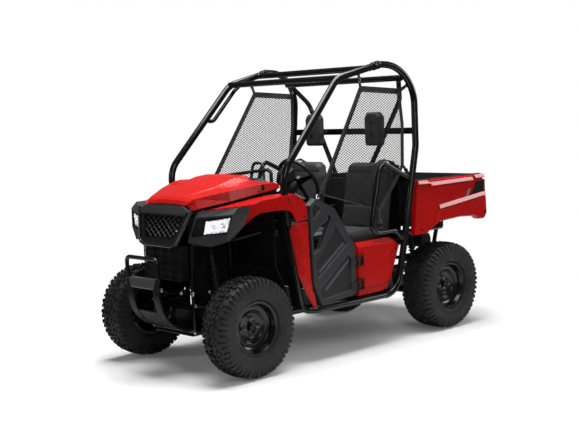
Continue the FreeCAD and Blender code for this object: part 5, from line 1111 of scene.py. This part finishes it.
def panel_details():
    """Dark red pipes of painted shade along the creases round the side panel's raised face, leaf screws of
    the hinges.
    """
    crease_shade, screws = Form(), Form()
    for side in (1, -1):
        # The crease pipes are a darker red: painted shade in the creases
        crease_shade.pipe(rounded(on_side(side, PANEL_X, PANEL_CREASE), 0.012), 0.0026, 8)
        crease_shade.pipe(on_side(side, PANEL_X + 0.001, ((0.194, 0.413), (0.238, 0.372))), 0.0022, 8)
        for height in HINGE_HEIGHTS:
            for up in (-0.026, 0.026):
                screws.bolt((side * LEAF_X, -0.006, height + up), (side, 0, 0), 0.0050, 0.004)
                screws.bolt((side * LEAF_X, -0.030, height + up), (side, 0, 0), 0.0038, 0.003)
    crease_shade.piece("panel_crease_shade", "red_body", "red_painted_shade", smooth=40)
    screws.piece("hinge_screws", "black_plastic", smooth=30)


BED_BODY, GATE_BODY = body_of["cargo_tub"], body_of["tailgate"]
# Ledges on the bed's sides as upper and lower line; the first runs along the middle, the rest along the rim
MIDDLE_LEDGE = (((0.812, 0.898), (1.080, 0.9255), (1.343, 0.953)),
                ((0.800, 0.870), (1.080, 0.8985), (1.340, 0.926)))
RIM_LEDGES = (
    (((0.572, 1.083), (0.660, 1.083)), ((0.570, 1.060), (0.700, 1.058))),
    (((0.690, 1.066), (1.180, 1.070)), ((0.716, 1.040), (1.183, 1.045))),
    (((1.200, 1.083), (1.314, 1.082)), ((1.206, 1.058), (1.316, 1.058))),
)
MARK = ((1.232, 1.028), (1.336, 1.036), (1.343, 0.958), (1.150, 0.937), (1.186, 0.956), (1.212, 0.988))
STRIPE = ((1.142, 0.980), (1.172, 0.984), (1.138, 0.934), (1.108, 0.930))
GATE_FRONT, GATE_BACK = 1.325, 1.343
WALL_RIBS, WALL_PITCH, FLOOR_PITCH = 9, 0.078, 0.085


def slanted(form, lines, top_x, low_x, side):
    """A ledge that leans out from a line on the bed's side to one lower down."""
    form.loft([
        [(side * top_x, y0, z0), (side * low_x, y1, z1), (side * (low_x - 0.003), y1, z1 - 0.003),
         (side * (top_x - 0.003), y0, z0 - 0.002)]
        for (y0, z0), (y1, z1) in zip(*lines)])


def bed_sides():
    """Slanted ledges that catch the light, their red painted a little lighter as a highlight, a plain patch
    and stripe, and bolts.
    """
    ledges, marks, stripes, bolts = Form(), Form(), Form(), Form()
    for side in (1, -1):
        slanted(ledges, MIDDLE_LEDGE, BED_BASE + 0.0006, BED_X + 0.0008, side)
        for lines in RIM_LEDGES:
            slanted(ledges, lines, BED_X + 0.0004, BED_X + 0.0085, side)
        sheet_on_side(marks, MARK, BED_BASE + 0.0003, 0.0007, side)
        sheet_on_side(stripes, STRIPE, BED_BASE + 0.0005, 0.0008, side)
        for place in on_side(side, 0.592, ((1.325, 0.799), (0.612, 0.738))):
            bolts.bolt(place, (side, 0, 0), 0.0075, 0.006)
    ledges.piece("bed_ledges", "red_body", "red_painted_highlight", smooth=20, body=BED_BODY)
    marks.piece("bed_marking", "black_plastic", smooth=20, body=BED_BODY)
    stripes.piece("bed_stripe", "grey_plate", "grey_paint", smooth=20, body=BED_BODY)
    bolts.piece("bed_bolts", "black_plastic", smooth=30, body=BED_BODY)


def bed_inside():
    """Black rim strips, ribs of the walls and the floor, and the tailgate's inner sheet."""
    liner, gate = Form(), Form()
    for side in (1, -1):
        liner.block((0.560, 0.574, 1.0832), (0.5975, 1.310, 1.0872), 0.0015, side)
        for k in range(WALL_RIBS):
            y = 0.640 + WALL_PITCH * k
            liner.block((0.556, y, 0.806), (0.5605, y + 0.022, 1.072), 0.0015, side)
    liner.block((-0.560, 0.5735, 1.0835), (0.560, 0.583, 1.0875), 0.0012)
    for k in range(-6, 7):
        x = FLOOR_PITCH * k
        liner.block((x - 0.012, 0.584, 0.7945), (x + 0.012, 1.300, 0.7985), 0.0012)
    liner.piece("bed_liner", "black_plastic", "bed_liner", smooth=25, body=BED_BODY)
    low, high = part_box("tailgate")
    gate.block((low[0] + 0.004, GATE_FRONT - 0.0016, low[2] + 0.030),
               (high[0] - 0.004, GATE_FRONT - 0.0002, high[2] - 0.0015), 0.0005)
    gate.block((low[0] + 0.003, GATE_FRONT - 0.0018, high[2] - 0.0012),
               (high[0] - 0.003, GATE_BACK + 0.0012, high[2] + 0.0012), 0.0008)
    gate.piece("tailgate_liner", "black_plastic", "bed_liner", smooth=25, body=GATE_BODY)


# A dark sheet behind each front wheel as painted shade, in X and Z: cut back where the wheel turns
WHEEL_SHADE_SHEET = ((0.24, 0.300), (0.290, 0.300), (0.290, 0.530), (0.400, 0.585), (0.460, 0.640), (0.24, 0.640))
MIDDLE_SHADE_SHEET = ((-0.24, 0.300), (0.24, 0.300), (0.24, 0.800), (-0.24, 0.800))
GROMMET = ((0, 0.0145), (0.0035, 0.0145), (0.0045, 0.0125), (0.0040, 0.0100))


def cab_details():
    """Holes of the headrests, and dark sheets ahead of the firewall as painted shade seen through the open
    frame.
    """
    holes, shade_sheets = Form(), Form()
    for side in (1, -1):
        for height in (1.496, 1.410):
            at = Vector((side * SEAT_MIDDLE, 0.4545, height))
            holes.turned(at, Vector((0, -1, 0)), GROMMET, 22)
        # Dark sheets that paint the shade under the front, where the frame is open
        shade_sheets.loft([[(side * x, y, z) for x, z in WHEEL_SHADE_SHEET] for y in (-0.792, -0.789)])
    shade_sheets.loft([[(x, y, z) for x, z in MIDDLE_SHADE_SHEET] for y in (-0.772, -0.769)])
    holes.piece("headrest_grommets", "black_plastic", smooth=30)
    shade_sheets.piece("front_shade_sheets", "black_plastic", smooth=20)


for side, hand in HANDS:
    door_details(side, hand)
panel_details()
bed_sides()
bed_inside()
cab_details()


# Stage, light and camera

FLOOR_RADIUS = 3.5
FLOOR_FADE = (1.9, 3.0)
FLOOR_GLOW = 0.06
WORLD_LIGHT = 0.05
WORLD_MIRROR = 0.10


def rays(tree, names):
    """One where a ray is of any of these kinds."""
    path = add(tree, "LightPath")
    found = path.outputs["Is " + names[0] + " Ray"]
    for name in names[1:]:
        found = calculate(tree, "MAXIMUM", found, path.outputs["Is " + name + " Ray"])
    return found


def floor_material():
    """A pale floor that reads as the white page, keeps the shadow and fades out far from the vehicle."""
    material, tree, shader = new_material("pale_floor")
    glow = calculate(tree, "MULTIPLY", rays(tree, ("Camera", "Transmission")), FLOOR_GLOW)
    feed(tree, shader, Base_Color=drift(tree, 6.0, 0.86, 0.90), Roughness=0.9, Specular_IOR_Level=0.0,
         Emission_Color=(1, 1, 1, 1), Emission_Strength=glow)
    length = add(tree, "VectorMath", Vector=object_coordinates(tree))
    length.operation = "LENGTH"
    far = ramp(tree, length.outputs["Value"], *FLOOR_FADE, 0, 1)
    clear = add(tree, "BsdfTransparent")
    mixed = add(tree, "MixShader")
    for socket, source in zip(mixed.inputs, (far, shader.outputs[0], clear.outputs[0])):
        tree.links.new(source, socket)
    feed(tree, tree.nodes["Material Output"], Surface=mixed.outputs[0])
    return material


def make_floor():
    mesh = bpy.data.meshes.new("floor")
    shape = bmesh.new()
    bmesh.ops.create_circle(shape, cap_ends=True, segments=96, radius=FLOOR_RADIUS)
    shape.to_mesh(mesh)
    shape.free()
    floor = placed("floor", mesh)
    floor.location.z = -0.001
    mesh.materials.append(floor_material())


def make_world():
    """White for the camera and through glass, faint as a light and in reflections."""
    world = bpy.data.worlds.new("studio")
    bpy.context.scene.world = world
    world.use_nodes = True
    tree = world.node_tree
    seen = calculate(tree, "MULTIPLY", rays(tree, ("Camera", "Transmission")), 1.0 - WORLD_LIGHT)
    reflected = calculate(tree, "MULTIPLY", rays(tree, ("Glossy",)), WORLD_MIRROR)
    strength = calculate(tree, "ADD", calculate(tree, "ADD", seen, reflected), WORLD_LIGHT)
    feed(tree, tree.nodes["Background"], Color=(1, 1, 1, 1), Strength=strength)


def area_light(name, place, aim, size, power):
    data = bpy.data.lights.new(name, "AREA")
    data.shape = "RECTANGLE"
    data.size, data.size_y = size
    data.energy = power
    lamp = placed(name, data)
    lamp.location = place
    lamp.rotation_euler = (Vector(aim) - Vector(place)).to_track_quat("-Z", "Y").to_euler()


# Name, place, aim, size and power of each lamp
LAMPS = (
    ("top", (0.0, 0.0, 4.8), (0, 0, 0.4), (3.6, 3.6), 430),
    ("key", (4.6, -2.6, 3.2), (0, 0, 0.7), (0.7, 2.6), 62),
    ("rim", (3.2, 5.2, 3.0), (0.3, 0.2, 0.8), (3.2, 1.4), 100),
    ("front", (-2.6, -5.2, 2.4), (0, -0.6, 0.8), (0.7, 2.0), 36),
)
CAMERA_PLACE = (5.4538, -5.1695, 1.6230)
CAMERA_YAW, CAMERA_PITCH, CAMERA_ROLL = 46.98, 5.76, -2.37
PHOTO_WIDTH, FOCAL_PIXELS, SENSOR = 579, 1085.2, 36.0


def make_camera():
    yaw, pitch, roll = (math.radians(v) for v in (CAMERA_YAW, CAMERA_PITCH, CAMERA_ROLL))
    back = Vector((math.sin(yaw) * math.cos(pitch), -math.cos(yaw) * math.cos(pitch), math.sin(pitch)))
    right = Vector((math.cos(yaw), math.sin(yaw), 0))
    up = back.cross(right)
    turned_right = math.cos(roll) * right + math.sin(roll) * up
    turned_up = -math.sin(roll) * right + math.cos(roll) * up
    data = bpy.data.cameras.new("camera")
    data.sensor_width = SENSOR
    data.lens = SENSOR * FOCAL_PIXELS / PHOTO_WIDTH
    camera = placed("camera", data)
    axes = Matrix((turned_right, turned_up, back)).transposed().to_4x4()
    camera.matrix_world = Matrix.Translation(CAMERA_PLACE) @ axes
    bpy.context.scene.camera = camera


make_floor()
make_world()
for lamp in LAMPS:
    area_light(*lamp)
make_camera()

bpy.context.scene.view_settings.view_transform = "Standard"
